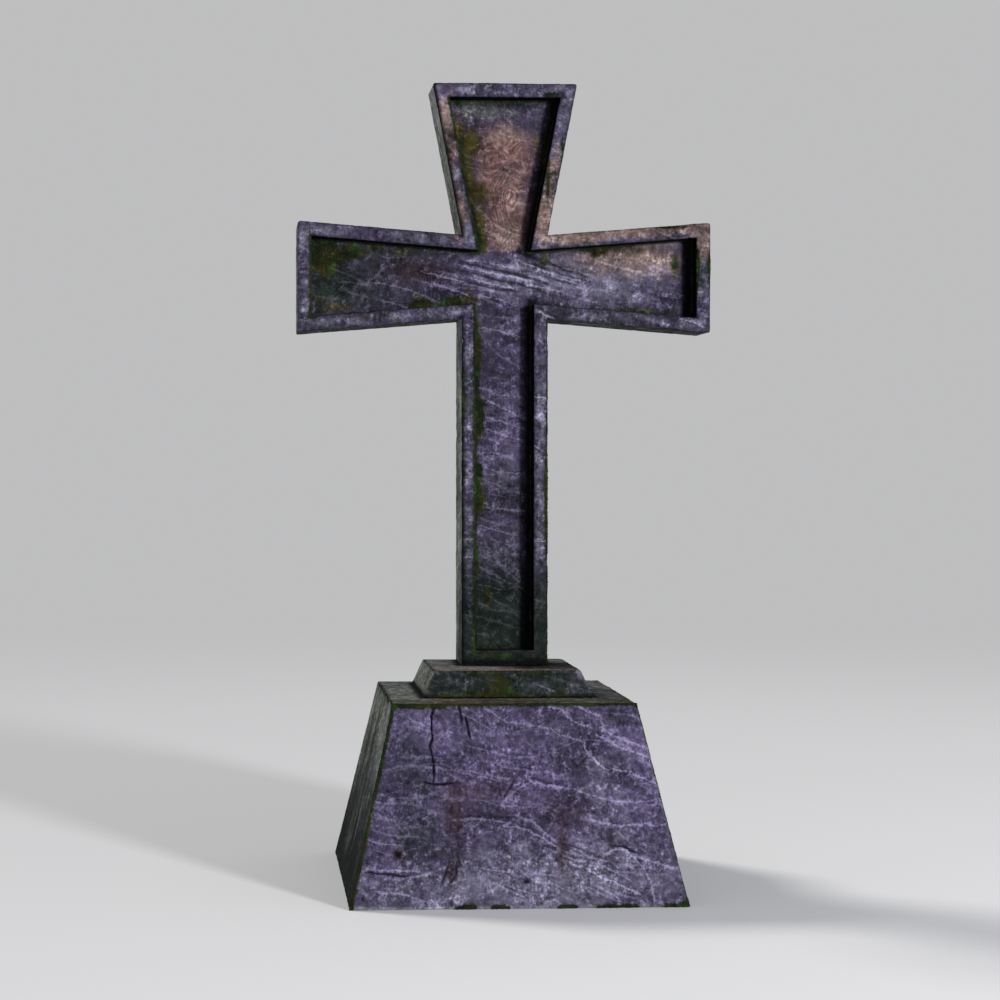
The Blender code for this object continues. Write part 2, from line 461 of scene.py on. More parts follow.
def new_material(title, roughness, gloss):
    """A plain material, as (the material, its net, its shader, the place in the object's own space)."""
    material = bpy.data.materials.new(title)
    material.use_nodes = True
    net = Net(material.node_tree)
    shader = net.tree.nodes["Principled BSDF"]
    shader.inputs["Roughness"].default_value = roughness
    shader.inputs["Specular IOR Level"].default_value = gloss
    return material, net, shader, net.node("ShaderNodeTexCoord").outputs["Object"]


def stone_material(title, ground, shade, values):
    """One stone's finish, from the shared groups with the stone's own values."""
    _, net, shader, place = new_material(title, values["roughness"], STONE_GLOSS)
    groups = bpy.data.node_groups

    def mask(name, scale=70.0, raggedness=0.8, softness=0.15):
        sizes = {"Scale": scale, "Raggedness": raggedness, "Softness": softness}
        inputs = {"Place": place, "Mask": attribute(net, name), **sizes}
        return place_group(net, groups["Broken mask"], inputs).outputs[0]

    hue = net.step(net.noise(place, 7.0, 3.0, 0.6), 0.35, 0.65)
    colour = net.mix(hue, shade, ground)
    for layer, tint, scale, raggedness, softness in TINTS:
        colour = net.mix(mask(layer, scale, raggedness, softness), colour, tint)
    rained = {"Place": place, "Stone": colour, "Share": attribute(net, "rained")}
    colour = place_group(net, groups["Rain streaks"], rained).outputs[0]
    streaked = attribute(net, "streaked")
    streaks = net.times_plus(streaked, values["streaks"], values["faint streaks"])
    pale = net.mix(0.27, net.scaled(colour, 4.4), values["vein colour"])
    smooth = net.times_plus(attribute(net, "smooth"), -0.45, 1.0)
    flecks = net.times(smooth, values["flecks"])
    slate = place_group(
        net,
        groups["Layered slate"],
        {
            "Place": place,
            "Ground": colour,
            "Vein Colour": pale,
            "Veins": values["veins"],
            "Streaks": streaks,
            "Mottle": values["mottle"],
            "Flecks": flecks,
            "Upright": values["upright"],
            "Drawn Veins": drawn_lines(net, place, VEIN_NAMES, VEIN_HALF_WIDTH, VEIN_KINK),
            "Haze": drawn_lines(net, place, VEIN_NAMES, HAZE_HALF_WIDTH, VEIN_KINK, 0.0),
            "Swirls": attribute(net, "swirled"),
        },
    )
    worn = place_group(
        net,
        groups["Edge wear"],
        {
            "Place": place,
            "Stone": slate.outputs["Color"],
            "Edge": attribute(net, "edge"),
            "Rubbed": values["rubbed"],
            "Amount": values["edge wear"],
        },
    ).outputs[0]
    # Real dirt and painted shade, laid over the stone in one near-black colour
    dirt_and_shade = mask("dirt_and_shade", 45.0, 0.5, 0.45)
    dirty_and_shaded = net.mix(net.times(dirt_and_shade, 0.97), worn, DIRT_AND_SHADE_COLOUR)
    moss = mask("moss", 75.0, 1.2, 0.18)
    growth = {"Place": place, "Stone": dirty_and_shaded, "Cover": moss, "Grain": slate.outputs["Grain"]}
    mossy = place_group(net, groups["Moss"], growth).outputs[0]
    groove = drawn_lines(net, place, GROOVE_NAMES, values["groove width"], GROOVE_KINK)
    net.feed(shader.inputs["Base Color"], net.mix(groove, mossy, GROOVE_SHADE))
    net.feed(shader.inputs["Roughness"], net.times_plus(moss, 0.15, values["roughness"]))
    mat_height = net.times(moss, net.noise(place, 300.0, 3.0, 0.7))
    height = net.times_plus(mat_height, 1.2, slate.outputs["Height"])
    height = net.times_plus(groove, -1.5, height)
    relief = {"Height": height, "Strength": BUMP_STRENGTH, "Distance": BUMP_DISTANCE}
    net.feed(shader.inputs["Normal"], net.node("ShaderNodeBump", relief).outputs["Normal"])


def moss_material():
    """The finish of the moss that stands off the stones."""
    _, net, shader, place = new_material("moss", 0.95, MOSS_GLOSS)
    grain = net.times_plus(net.noise(place, 260.0, 2.0), 2.0, 0.1)
    leafy = {"Place": place, "Grain": grain, "Cover": 1.0}
    net.feed(shader.inputs["Base Color"], place_group(net, bpy.data.node_groups["Moss"], leafy).outputs[0])


def make_materials():
    for build in (broken_mask_group, slate_group, moss_group, rain_streak_group, edge_wear_group):
        build()
    moss_material()
    shared = {
        "veins": 0.40,
        "groove width": 0.0026,
        "edge wear": 0.40,
        "streaks": 0.50,
        "faint streaks": 0.10,
        "mottle": 1.0,
        "flecks": 1.0,
        "upright": 2.0,
        "roughness": 0.80,
        "vein colour": (0.30, 0.28, 0.38, 1.0),
        "rubbed": (0.16, 0.15, 0.21, 1.0),
    }
    step_values = {**shared, "veins": 0.25, "flecks": 0.8, "upright": 6.0}
    cross_values = {**shared, "edge wear": 0.25, "groove width": 0.0032, "veins": 0.28}
    stone_material("plinth stone", (0.049, 0.040, 0.077, 1.0), (0.038, 0.032, 0.057, 1.0), shared)
    stone_material("step stone", (0.032, 0.030, 0.038, 1.0), (0.014, 0.015, 0.016, 1.0), step_values)
    stone_material("cross stone", (0.042, 0.034, 0.064, 1.0), (0.027, 0.024, 0.038, 1.0), cross_values)


# Geometry trees
def end_tree(net, geometry, material, out):
    """The last nodes of every tree: real geometry in its material."""
    real = net.node("GeometryNodeRealizeInstances", {"Geometry": geometry})
    finish = net.node("GeometryNodeSetMaterial", {"Geometry": real.outputs["Geometry"], "Material": material})
    net.feed(out.inputs["Geometry"], finish.outputs["Geometry"])


def within(net, place, lowest, highest):
    return net.vector("MINIMUM", net.vector("MAXIMUM", place, lowest), highest)


def block_tree():
    """A block divided finely, with worn edges, whose top is smaller than its foot."""
    inputs = {
        "Foot Low": ("Vector", None),
        "Foot High": ("Vector", None),
        "Top Low": ("Vector", None),
        "Top High": ("Vector", None),
        "Divisions X": ("Int", 10),
        "Divisions Y": ("Int", 10),
        "Divisions Z": ("Int", 10),
        "Wear": ("Float", 0.004),
        "Seed": ("Float", 0.0),
        "Material": ("Material", None),
    }
    outputs = {"Geometry": ("Geometry", None)}
    net, given, out = new_group("Tapered block", "GeometryNodeTree", inputs, outputs)
    counts = {"Vertices " + axis: given["Divisions " + axis] for axis in "XYZ"}
    cube = net.node("GeometryNodeMeshCube", {"Size": (1.0, 1.0, 1.0), **counts})
    size = net.vector("SUBTRACT", given["Top High"], given["Foot Low"])
    place = net.node("GeometryNodeInputPosition").outputs[0]
    sized = net.vector("MULTIPLY", place, size)
    moved = net.vector("ADD", sized, net.combine(given["Seed"], 0.0, 0.0))
    uneven = net.times_plus(net.noise(moved, 14.0, 3.0, 0.6), 2.2, -0.35)
    above = net.step(net.node("ShaderNodeSeparateXYZ", {"Vector": place}).outputs["Z"], -0.5, -0.3)
    kept = net.times_plus(above, 0.6, 0.4)
    wear = net.times(given["Wear"], kept)
    radius = net.times(wear, net.larger(uneven, 0.25))
    half = net.scaled(size, 0.5)
    inner = net.vector("SUBTRACT", half, net.combine(radius, radius, radius))
    held = within(net, sized, net.scaled(inner, -1.0), inner)
    outwards = net.vector("NORMALIZE", net.vector("SUBTRACT", sized, held))
    rounded = net.vector("ADD", held, net.scaled(outwards, radius))
    share = net.vector("ADD", net.vector("DIVIDE", rounded, size), HALVES)
    height = net.node("ShaderNodeSeparateXYZ", {"Vector": share}).outputs["Z"]

    def between(low, high):
        return net.vector("ADD", low, net.vector("MULTIPLY", share, net.vector("SUBTRACT", high, low)))

    foot = between(given["Foot Low"], given["Foot High"])
    top = between(given["Top Low"], given["Top High"])
    tapered = net.vector("ADD", foot, net.scaled(net.vector("SUBTRACT", top, foot), height))
    placed = net.node("GeometryNodeSetPosition", {"Geometry": cube.outputs["Mesh"], "Position": tapered})
    end_tree(net, placed.outputs["Geometry"], given["Material"], out)
    return net.tree


def weathering_tree():
    """Wears a stone's surface down: swells, pits, layers, cracks, chipped edges, and moss standing proud."""
    inputs = {
        "Geometry": ("Geometry", None),
        "Swell": ("Float", 0.0012),
        "Pits": ("Float", 0.0006),
        "Layers": ("Float", 0.0007),
        "Cracks": ("Float", 0.0032),
        "Veins": ("Float", 0.0003),
        "Swirls": ("Float", 0.0010),
        "Chips": ("Float", 0.0030),
        "Moss": ("Float", 0.0012),
        "Lowest": ("Vector", None),
        "Highest": ("Vector", None),
        "Material": ("Material", None),
    }
    outputs = {"Geometry": ("Geometry", None)}
    net, given, out = new_group("Weathering", "GeometryNodeTree", inputs, outputs)
    place = net.node("GeometryNodeInputPosition").outputs[0]

    def named(name):
        return attribute(net, name)

    def worn(amount, share):
        return net.times(amount, net.times(share, -1.0))

    swell = worn(given["Swell"], net.noise(place, 8.0, 3.0, 0.55))
    pits = worn(given["Pits"], net.step(net.noise(place, 75.0, 3.0, 0.6), 0.52, 0.72))
    hollow = net.minus(1.0, vein_lines(net, place))
    bands = net.step(layer_bands(net, place), 0.25, 0.75)
    layers = worn(given["Layers"], net.times(hollow, bands))
    close = net.minus(0.75, fine_layers(net, place))
    streaks = worn(given["Layers"], net.times(close, named("streaked")))
    cracks = worn(given["Cracks"], drawn_lines(net, place, GROOVE_NAMES, CUT_HALF_WIDTH, GROOVE_KINK))
    raised = drawn_lines(net, place, VEIN_NAMES, RAISED_HALF_WIDTH, VEIN_KINK)
    veins = net.times(given["Veins"], raised)
    furrows = net.minus(1.0, curled_lines(net, place))
    swirls = worn(given["Swirls"], net.times(furrows, named("swirled")))
    chip = net.times(named("edge"), net.step(net.noise(place, 26.0, 4.0, 0.7), 0.56, 0.70))
    chips = worn(given["Chips"], chip)
    mossy = net.times_plus(net.noise(place, 90.0, 4.0, 0.7), 0.9, named("moss"))
    cushion = net.step(mossy, 0.85, 1.25)
    tuft = net.times(cushion, net.noise(place, 240.0, 2.0))
    moss = net.times(given["Moss"], tuft)
    total = moss
    for part in (swell, pits, layers, streaks, cracks, veins, swirls, chips):
        total = net.plus(total, part)
    normal = net.node("GeometryNodeInputNormal").outputs[0]
    moved = net.vector("ADD", place, net.scaled(normal, total))
    held = within(net, moved, given["Lowest"], given["Highest"])
    placed = net.node("GeometryNodeSetPosition", {"Geometry": given["Geometry"], "Position": held})
    end_tree(net, placed.outputs["Geometry"], given["Material"], out)
    return net.tree


def tuft_tree():
    """Small flattened tufts strewn over a stone where its moss is thick."""
    inputs = {
        "Geometry": ("Geometry", None),
        "Tufts": ("Float", 320000.0),
        "Seed": ("Int", 3),
        "Smallest": ("Float", 0.0007),
        "Largest": ("Float", 0.0017),
        "Lowest": ("Vector", None),
        "Highest": ("Vector", None),
        "Material": ("Material", None),
    }
    net, given, out = new_group("Moss tufts", "GeometryNodeTree", inputs, {"Geometry": ("Geometry", None)})
    place = net.node("GeometryNodeInputPosition").outputs[0]
    ragged = net.minus(net.noise(place, 75.0, 5.0, 0.65), 0.5)
    thick = net.step(net.times_plus(ragged, 1.1, attribute(net, "moss")), 0.62, 1.05)
    strewn = net.node(
        "GeometryNodeDistributePointsOnFaces",
        {
            "Mesh": given["Geometry"],
            "Density": net.times(given["Tufts"], thick),
            "Seed": given["Seed"],
        },
        distribute_method="RANDOM",
    )
    ball = net.node("GeometryNodeMeshIcoSphere", {"Radius": 1.0, "Subdivisions": 1})
    size = net.node("FunctionNodeRandomValue", data_type="FLOAT")
    net.feed(size.inputs[2], given["Smallest"])
    net.feed(size.inputs[3], given["Largest"])
    net.feed(size.inputs["Seed"], given["Seed"])
    radius = size.outputs[1]
    tufts = net.node(
        "GeometryNodeInstanceOnPoints",
        {
            "Points": strewn.outputs["Points"],
            "Instance": ball.outputs["Mesh"],
            "Rotation": strewn.outputs["Rotation"],
            "Scale": net.combine(radius, radius, net.times(radius, 0.6)),
        },
    )
    real = net.node("GeometryNodeRealizeInstances", {"Geometry": tufts.outputs["Instances"]})
    held = within(net, place, given["Lowest"], given["Highest"])
    placed = net.node("GeometryNodeSetPosition", {"Geometry": real.outputs["Geometry"], "Position": held})
    end_tree(net, placed.outputs["Geometry"], given["Material"], out)
    return net.tree


def new_object(name, data):
    made = bpy.data.objects.new(name, data)
    bpy.context.scene.collection.objects.link(made)
    return made


def grown(name, mesh, tree, values):
    """The plain mesh that a geometry tree makes on a mesh; the tree's inputs are set by their identifiers."""
    source = new_object(name, mesh)
    modifier = source.modifiers.new(tree.name, "NODES")
    modifier.node_group = tree
    sockets = {item.name: item.identifier for item in tree.interface.items_tree if item.in_out == "INPUT"}
    for socket, value in values.items():
        modifier[sockets[socket]] = value
    bpy.context.view_layer.update()
    evaluated = source.evaluated_get(bpy.context.evaluated_depsgraph_get())
    made = bpy.data.meshes.new_from_object(evaluated)
    source.modifiers.remove(modifier)
    bpy.data.objects.remove(source, do_unlink=True)
    made.name = name
    return made


# Masks painted at the vertices
def triples(items, name):
    """One row of three values for each item."""
    flat = np.empty(len(items) * 3)
    items.foreach_get(name, flat)
    return flat.reshape(-1, 3)


def coordinates(mesh):
    return triples(mesh.vertices, "co")


def normals(mesh):
    return triples(mesh.vertex_normals, "vector")


def keep(mesh, name, values):
    """Writes one value for each vertex under a name."""
    layer = mesh.attributes.get(name) or mesh.attributes.new(name, "FLOAT", "POINT")
    layer.data.foreach_set("value", values.astype(np.float32))


def paint(mesh, name, mask):
    keep(mesh, name, np.clip(mask, 0.0, 1.0))


def overlay(*masks):
    """Masks laid over each other, so that none takes from another."""
    bare = 1.0
    for mask in masks:
        bare = bare * (1.0 - np.clip(mask, 0.0, 1.0))
    return 1.0 - bare


def spots(points, places):
    """Soft oval spots on the carved face, each (x, z, half width, half height, strength)."""
    masks = [np.zeros(len(points))]
    for x, z, half_width, half_height, strength in places:
        away = ((points[:, 0] - x) / half_width) ** 2 + ((points[:, 2] - z) / half_height) ** 2
        masks.append(strength * np.exp(-0.8 * away))
    return overlay(*masks)


def distance_to_lines(points, lines):
    """How far each point is from the nearest of some straight lines, each a pair of end points."""
    nearest = np.full(len(points), 1.0)
    for start, end in lines:
        start = np.array(start)
        along = np.array(end) - start
        share = np.clip((points - start) @ along / (along @ along), 0.0, 1.0)
        away = np.linalg.norm(points - start - share[:, None] * along, axis=1)
        nearest = np.minimum(nearest, away)
    return nearest


def near(points, lines, width):
    return np.exp(-((distance_to_lines(points, lines) / width) ** 2))


def draw_lines(mesh, points, name, chains, shown=1.0):
    """Keeps each point's distance to one side of the nearest line on the carved face, and how near it is.

    Each line is (strength, its (x, z) corners). The side is what the finish and the relief draw it by.
    """
    away = np.full(len(points), 1.0)
    side = np.full(len(points), 1.0)
    strength = np.zeros(len(points))
    flat = points[:, [0, 2]]
    for force, corners in chains:
        for start, end in zip(corners, corners[1:]):
            along = np.array(end) - np.array(start)
            length = np.linalg.norm(along)
            from_start = flat - np.array(start)
            share = np.clip(from_start @ along / length**2, 0.0, 1.0)
            off = np.linalg.norm(from_start - share[:, None] * along, axis=1)
            across = from_start @ np.array((-along[1], along[0])) / length
            nearer = off < away
            away[nearer] = off[nearer]
            side[nearer] = across[nearer]
            strength[nearer] = force
    keep(mesh, name + "_side", side)
    keep(mesh, name, shown * strength * np.exp(-((away / LINE_FADE) ** 2)))


def patches(points, scale, seed):
    """A smooth noise at the points, from about -0.5 to 0.5."""
    away = Vector((seed, seed, seed))
    return np.array([noise.noise(Vector(point) * scale + away) for point in points])


def joined(corners, closed=True):
    """The straight lines from each corner to the next."""
    after = corners[1:] + corners[:1] if closed else corners[1:]
    return list(zip(corners, after))


# Stones
def block_corners(low, high, spread):
    foot = [(low.x, low.y), (high.x, low.y), (high.x, high.y), (low.x, high.y)]
    top = [(x + spread * (1 if x < high.x else -1), y + spread * (1 if y < high.y else -1)) for x, y in foot]
    return [(x, y, low.z) for x, y in foot], [(x, y, high.z) for x, y in top]


def block_edges(foot, crown):
    return joined(foot) + joined(crown) + list(zip(foot, crown))


def block_mesh(name, low, high, spread, divisions, wear, seed):
    inset = Vector((spread, spread, 0.0))
    values = {
        "Foot Low": low,
        "Foot High": Vector((high.x, high.y, low.z)),
        "Top Low": Vector((low.x, low.y, high.z)) + inset,
        "Top High": high - inset,
        "Wear": wear,
        "Seed": seed,
    }
    for axis, count in zip("XYZ", divisions):
        values["Divisions " + axis] = count
    values["Material"] = bpy.data.materials[name + " stone"]
    return grown(name, bpy.data.meshes.new(name), block_tree(), values)


def refine(mesh, chosen):
    """Divides the faces whose vertices are all chosen into four each."""
    shape = bmesh.new()
    shape.from_mesh(mesh)
    shape.verts.ensure_lookup_table()
    faces = [face for face in shape.faces if all(chosen[vertex.index] for vertex in face.verts)]
    edges = list({edge for face in faces for edge in face.edges})
    bmesh.ops.subdivide_edges(shape, edges=edges, cuts=1, use_grid_fill=True)
    bmesh.ops.recalc_face_normals(shape, faces=shape.faces)
    shape.to_mesh(mesh)
    shape.free()


def cross_outline(low, high):
    """The outline of the cross as (x, z) points, clockwise from the front, from the foot's left corner."""
    middle = (low.x + high.x) / 2
    arm = (high.x - low.x) / 2
    shaft = SHAFT_WIDTH / 2
    axis = low.z + ARM_AXIS_HEIGHT
    left_side = [
        (-shaft, low.z),
        (-shaft, axis - ARM_ROOT_HEIGHT / 2),
        (-arm, axis - ARM_END_HEIGHT / 2),
        (-arm, axis + ARM_END_HEIGHT / 2),
        (-shaft, axis + ARM_ROOT_HEIGHT / 2),
        (-TOP_ARM_WIDTH / 2, high.z),
    ]
    right_side = [(-x, z) for x, z in reversed(left_side)]
    return [np.array((middle + x, z)) for x, z in left_side + right_side]


def mitres(outline):
    """At each corner, how the outline moves when it shrinks inwards by one unit."""
    found = []
    for index, corner in enumerate(outline):
        before = corner - outline[index - 1]
        after = outline[(index + 1) % len(outline)] - corner
        inward_before = np.array((before[1], -before[0])) / np.linalg.norm(before)
        inward_after = np.array((after[1], -after[0])) / np.linalg.norm(after)
        both = inward_before + inward_after
        found.append(both * 2 / (both @ both))
    return found


def fractions(count):
    """Even divisions of an edge from 0 to 1, with the first and last cells divided once more."""
    even = [index / count for index in range(count + 1)]
    thin = 0.4 / count
    return np.array([0.0, thin] + even[1:-1] + [1.0 - thin, 1.0])


def rim_profile(depth, wear):
    """A cut through the rim, as (distance inwards, distance back) pairs, from the back round to the panel."""
    turn = [math.sin(math.radians(angle)) for angle in (0, 30, 60, 90)]
    back_turn = [(wear * (1 - a), depth - wear * (1 - b)) for a, b in zip(turn, reversed(turn))]
    side_steps = 18
    side = [(0.0, depth - wear - step * (depth - 2 * wear) / side_steps) for step in range(1, side_steps)]
    front_turn = [(wear * (1 - b), wear * (1 - a)) for a, b in zip(turn, reversed(turn))]
    rim_steps = 4
    rim = [(wear + step * (RIM_WIDTH - 2 * wear) / rim_steps, 0.0) for step in range(1, rim_steps)]
    inner_turn = [(RIM_WIDTH - wear * (1 - a), wear * (1 - b)) for a, b in zip(turn, reversed(turn))]
    wall_steps = 6
    wall = [(RIM_WIDTH, wear + step * (PANEL_DEPTH - wear) / wall_steps) for step in range(1, wall_steps + 1)]
    return back_turn, side, front_turn, rim, inner_turn, wall


def cross_mesh(low, high):
    """The rim's profile swept round the outline, with the sunk panel and the back filled in as even grids."""
    outline = cross_outline(low, high)
    mitre = mitres(outline)
    lengths = [np.linalg.norm(there - here) for here, there in joined(outline)]
    counts = [max(2, round(length / CROSS_CELL)) for length in lengths]
    counts[5] = counts[11] = round(SHAFT_WIDTH / CROSS_CELL)
    counts[2] = counts[8] = round(ARM_ROOT_HEIGHT / CROSS_CELL)
    depth = high.y - low.y
    back_inset = 0.008
    shape = bmesh.new()

    stations = []
    for count, (here, there), (move, next_move) in zip(counts, joined(outline), joined(mitre)):
        for share in fractions(count)[:-1]:
            spot = here * (1 - share) + there * share
            inwards = move * (1 - share) + next_move * share
            stations.append((spot, inwards))

    rows = []
    for spot, inwards in stations:
        rough = noise.noise(Vector((spot[0], 0.0, spot[1])) * 22.0)
        wear = CROSS_EDGE_WEAR * max(0.35, 1.0 + 1.3 * rough)
        back_turn, side, front_turn, rim, inner_turn, wall = rim_profile(depth, wear)
        profile = [(back_inset, depth)] + back_turn + side + front_turn + rim + inner_turn + wall
        ring = []
        for inset, back in profile:
            flat = spot + inwards * inset
            ring.append(shape.verts.new((flat[0], low.y + back, flat[1])))
        rows.append(ring)
    for index, ring in enumerate(rows):
        following = rows[(index + 1) % len(rows)]
        for step in range(len(ring) - 1):
            shape.faces.new((ring[step], ring[step + 1], following[step + 1], following[step]))

    def filled(inset, back):
        corner = [spot + move * inset for spot, move in zip(outline, mitre)]
        # The shaft, the middle and each arm: four corners in turn round it, and its cells both ways
        quads = [
            (0, 1, 10, 11, counts[0], counts[11]),
            (1, 4, 7, 10, counts[2], counts[11]),
            (4, 5, 6, 7, counts[4], counts[5]),
            (2, 3, 4, 1, counts[2], counts[1]),
            (10, 7, 8, 9, counts[8], counts[7]),
        ]
        for a, b, c, d, up, across in quads:
            grid = []
            for u in fractions(up):
                start = corner[a] * (1 - u) + corner[b] * u
                end = corner[d] * (1 - u) + corner[c] * u
                line = [start * (1 - v) + end * v for v in fractions(across)]
                grid.append([shape.verts.new((spot[0], low.y + back, spot[1])) for spot in line])
            for lower, upper in zip(grid, grid[1:]):
                for step in range(len(lower) - 1):
                    shape.faces.new((lower[step], lower[step + 1], upper[step + 1], upper[step]))

    filled(RIM_WIDTH, PANEL_DEPTH)
    filled(back_inset, depth)
    bmesh.ops.remove_doubles(shape, verts=shape.verts, dist=WELD_DISTANCE)
    round_corners(shape, outline)
    bmesh.ops.recalc_face_normals(shape, faces=shape.faces)
    mesh = bpy.data.meshes.new("cross")
    shape.to_mesh(mesh)
    shape.free()
    points = coordinates(mesh)
    refine(mesh, points[:, 1] < low.y + PANEL_DEPTH + 0.0005)
    return mesh


def round_corners(shape, outline):
    """Rubs the outer corners of the arms round, all through the thickness of the cross."""
    mitre = mitres(outline)
    for index, radius in CORNER_RADII.items():
        corner = outline[index]
        middle = corner + mitre[index] * radius
        reach = np.linalg.norm(corner - middle)
        for vertex in shape.verts:
            outwards = np.array((vertex.co.x, vertex.co.z)) - middle
            away = np.linalg.norm(outwards)
            facing = outwards @ (corner - middle) / (max(away, 1e-6) * reach)
            if radius < away < reach * 1.01 and facing > 0.72:
                vertex.co.x, vertex.co.z = middle + outwards * radius / away


# Lines on the plinth's front, each as (strength, its (x, z) corners)
PLINTH_GROOVES = (
    (
        (1.0, ((-0.149, 0.337), (-0.151, 0.318), (-0.150, 0.293), (-0.154, 0.279), (-0.148, 0.250),
               (-0.149, 0.219))),
        (0.9, ((-0.101, 0.349), (-0.098, 0.327))),
        (0.6, ((0.072, 0.110), (0.097, 0.106), (0.117, 0.097), (0.143, 0.087))),
        (0.9, ((0.168, 0.106), (0.186, 0.104), (0.202, 0.096))),
        (0.9, ((-0.260, 0.064), (-0.237, 0.062), (-0.211, 0.058))),
        (0.8, ((-0.112, 0.066), (-0.114, 0.057), (-0.120, 0.049))),
        (0.5, ((0.030, 0.222), (0.055, 0.214), (0.079, 0.211))),
        (0.45, ((-0.085, 0.159), (-0.050, 0.157), (0.003, 0.155))),
        (0.5, ((0.115, 0.164), (0.133, 0.164))),
    ),
    (
        (1.0, ((-0.160, 0.216), (-0.145, 0.2135), (-0.118, 0.215))),
        (1.0, ((-0.089, 0.324), (-0.084, 0.301))),
        (0.7, ((-0.127, 0.070), (-0.130, 0.061), (-0.135, 0.051))),
        (0.5, ((-0.109, 0.092), (-0.106, 0.081))),
        (0.6, ((-0.023, 0.194), (-0.010, 0.213))),
        (0.4, ((-0.191, 0.204), (-0.171, 0.199))),
    ),
)
PLINTH_VEINS = (
    (
        (0.9, ((0.107, 0.347), (0.125, 0.340), (0.152, 0.330), (0.156, 0.305), (0.193, 0.289),
               (0.234, 0.274))),
        (0.7, ((-0.051, 0.343), (-0.019, 0.320), (0.016, 0.317), (0.061, 0.308), (0.079, 0.297),
               (0.119, 0.286))),
        (0.8, ((0.123, 0.282), (0.123, 0.271), (0.145, 0.248), (0.157, 0.239), (0.193, 0.232))),
        (0.8, ((-0.023, 0.186), (0.004, 0.206), (0.023, 0.216), (0.076, 0.207), (0.099, 0.204),
               (0.141, 0.190))),
        (0.7, ((0.141, 0.190), (0.168, 0.182), (0.212, 0.179), (0.250, 0.185))),
        (0.9, ((0.127, 0.152), (0.150, 0.145), (0.184, 0.140), (0.225, 0.144), (0.243, 0.139),
               (0.270, 0.144))),
        (0.8, ((0.003, 0.156), (0.021, 0.151), (0.038, 0.137), (0.064, 0.115))),
        (0.9, ((0.148, 0.087), (0.165, 0.099), (0.179, 0.102), (0.193, 0.097), (0.219, 0.068),
               (0.233, 0.039))),
        (0.7, ((0.233, 0.039), (0.236, 0.015))),
        (0.8, ((-0.270, 0.068), (-0.219, 0.068), (-0.190, 0.066))),
        (0.7, ((-0.070, 0.070), (-0.049, 0.067), (-0.024, 0.063))),
        (0.6, ((-0.246, 0.030), (-0.220, 0.028), (-0.197, 0.024), (-0.159, 0.012))),
        (0.4, ((-0.119, 0.238), (-0.084, 0.236), (-0.048, 0.227), (-0.022, 0.223))),
        (0.7, ((-0.259, 0.158), (-0.238, 0.155))),
        (0.7, ((0.141, 0.035), (0.162, 0.024), (0.172, 0.016))),
        (0.5, ((-0.199, 0.261), (-0.154, 0.260))),
    ),
    (
        (0.9, ((0.053, 0.348), (0.080, 0.341), (0.106, 0.319), (0.133, 0.312), (0.145, 0.297),
               (0.185, 0.276))),
        (0.8, ((0.185, 0.276), (0.207, 0.267), (0.242, 0.256))),
        (0.7, ((-0.103, 0.152), (-0.082, 0.155), (-0.059, 0.153), (-0.017, 0.146))),
        (0.9, ((-0.024, 0.141), (0.003, 0.138), (0.029, 0.127), (0.065, 0.106))),
        (0.9, ((0.089, 0.077), (0.124, 0.065), (0.142, 0.053), (0.170, 0.043), (0.203, 0.027))),
        (0.8, ((0.207, 0.090), (0.223, 0.080), (0.240, 0.076), (0.270, 0.067), (0.286, 0.069))),
        (0.9, ((0.207, 0.229), (0.219, 0.222), (0.251, 0.211))),
        (0.7, ((-0.266, 0.119), (-0.249, 0.114), (-0.214, 0.109))),
        (0.5, ((0.099, 0.101), (0.116, 0.092), (0.128, 0.080))),
        (0.6, ((-0.027, 0.036), (0.003, 0.021))),
        (0.5, ((-0.218, 0.148), (-0.206, 0.136))),
        (0.5, ((0.004, 0.185), (0.022, 0.182), (0.048, 0.168))),
        (0.6, ((-0.185, 0.325), (-0.164, 0.314))),
        (0.6, ((-0.136, 0.293), (-0.123, 0.305))),
    ),
)


# Where things are on the plinth's front, as (x, z, half width, half height, strength)
PLINTH_BLUSH = (
    (-0.050, 0.190, 0.070, 0.025, 0.45),
    (0.030, 0.170, 0.090, 0.030, 0.35),
    (0.080, 0.130, 0.030, 0.050, 0.40),
)
PLINTH_RUST = (
    (-0.112, 0.160, 0.020, 0.060, 0.68),
    (-0.060, 0.200, 0.060, 0.018, 0.55),
    (0.076, 0.095, 0.016, 0.045, 0.75),
    (0.085, 0.160, 0.035, 0.025, 0.55),
    (-0.213, 0.097, 0.013, 0.013, 1.00),
    (0.165, 0.115, 0.010, 0.035, 0.50),
    (-0.118, 0.062, 0.012, 0.018, 0.80),
)
PLINTH_PALE = (
    (0.000, 0.035, 0.300, 0.045, 0.70),
    (0.160, 0.200, 0.060, 0.120, 0.35),
    (0.050, 0.090, 0.200, 0.040, 0.40),
)
PLINTH_DAMP = (
    (-0.190, 0.250, 0.050, 0.080, 0.50),
    (-0.180, 0.130, 0.070, 0.060, 0.52),
    (0.190, 0.325, 0.030, 0.015, 0.50),
)
PLINTH_PITS = (
    (-0.213, 0.094, 0.007, 0.008, 0.90),
    (0.012, 0.047, 0.009, 0.006, 1.00),
    (0.214, 0.078, 0.006, 0.006, 0.70),
)


def front_lines(chains, front_at):
    """Lines on a stone's carved face, given as (strength, (x, z) corners), as straight lines in space."""
    lines = []
    for _, corners in chains:
        lines += joined([(x, front_at(z), z) for x, z in corners], closed=False)
    return lines


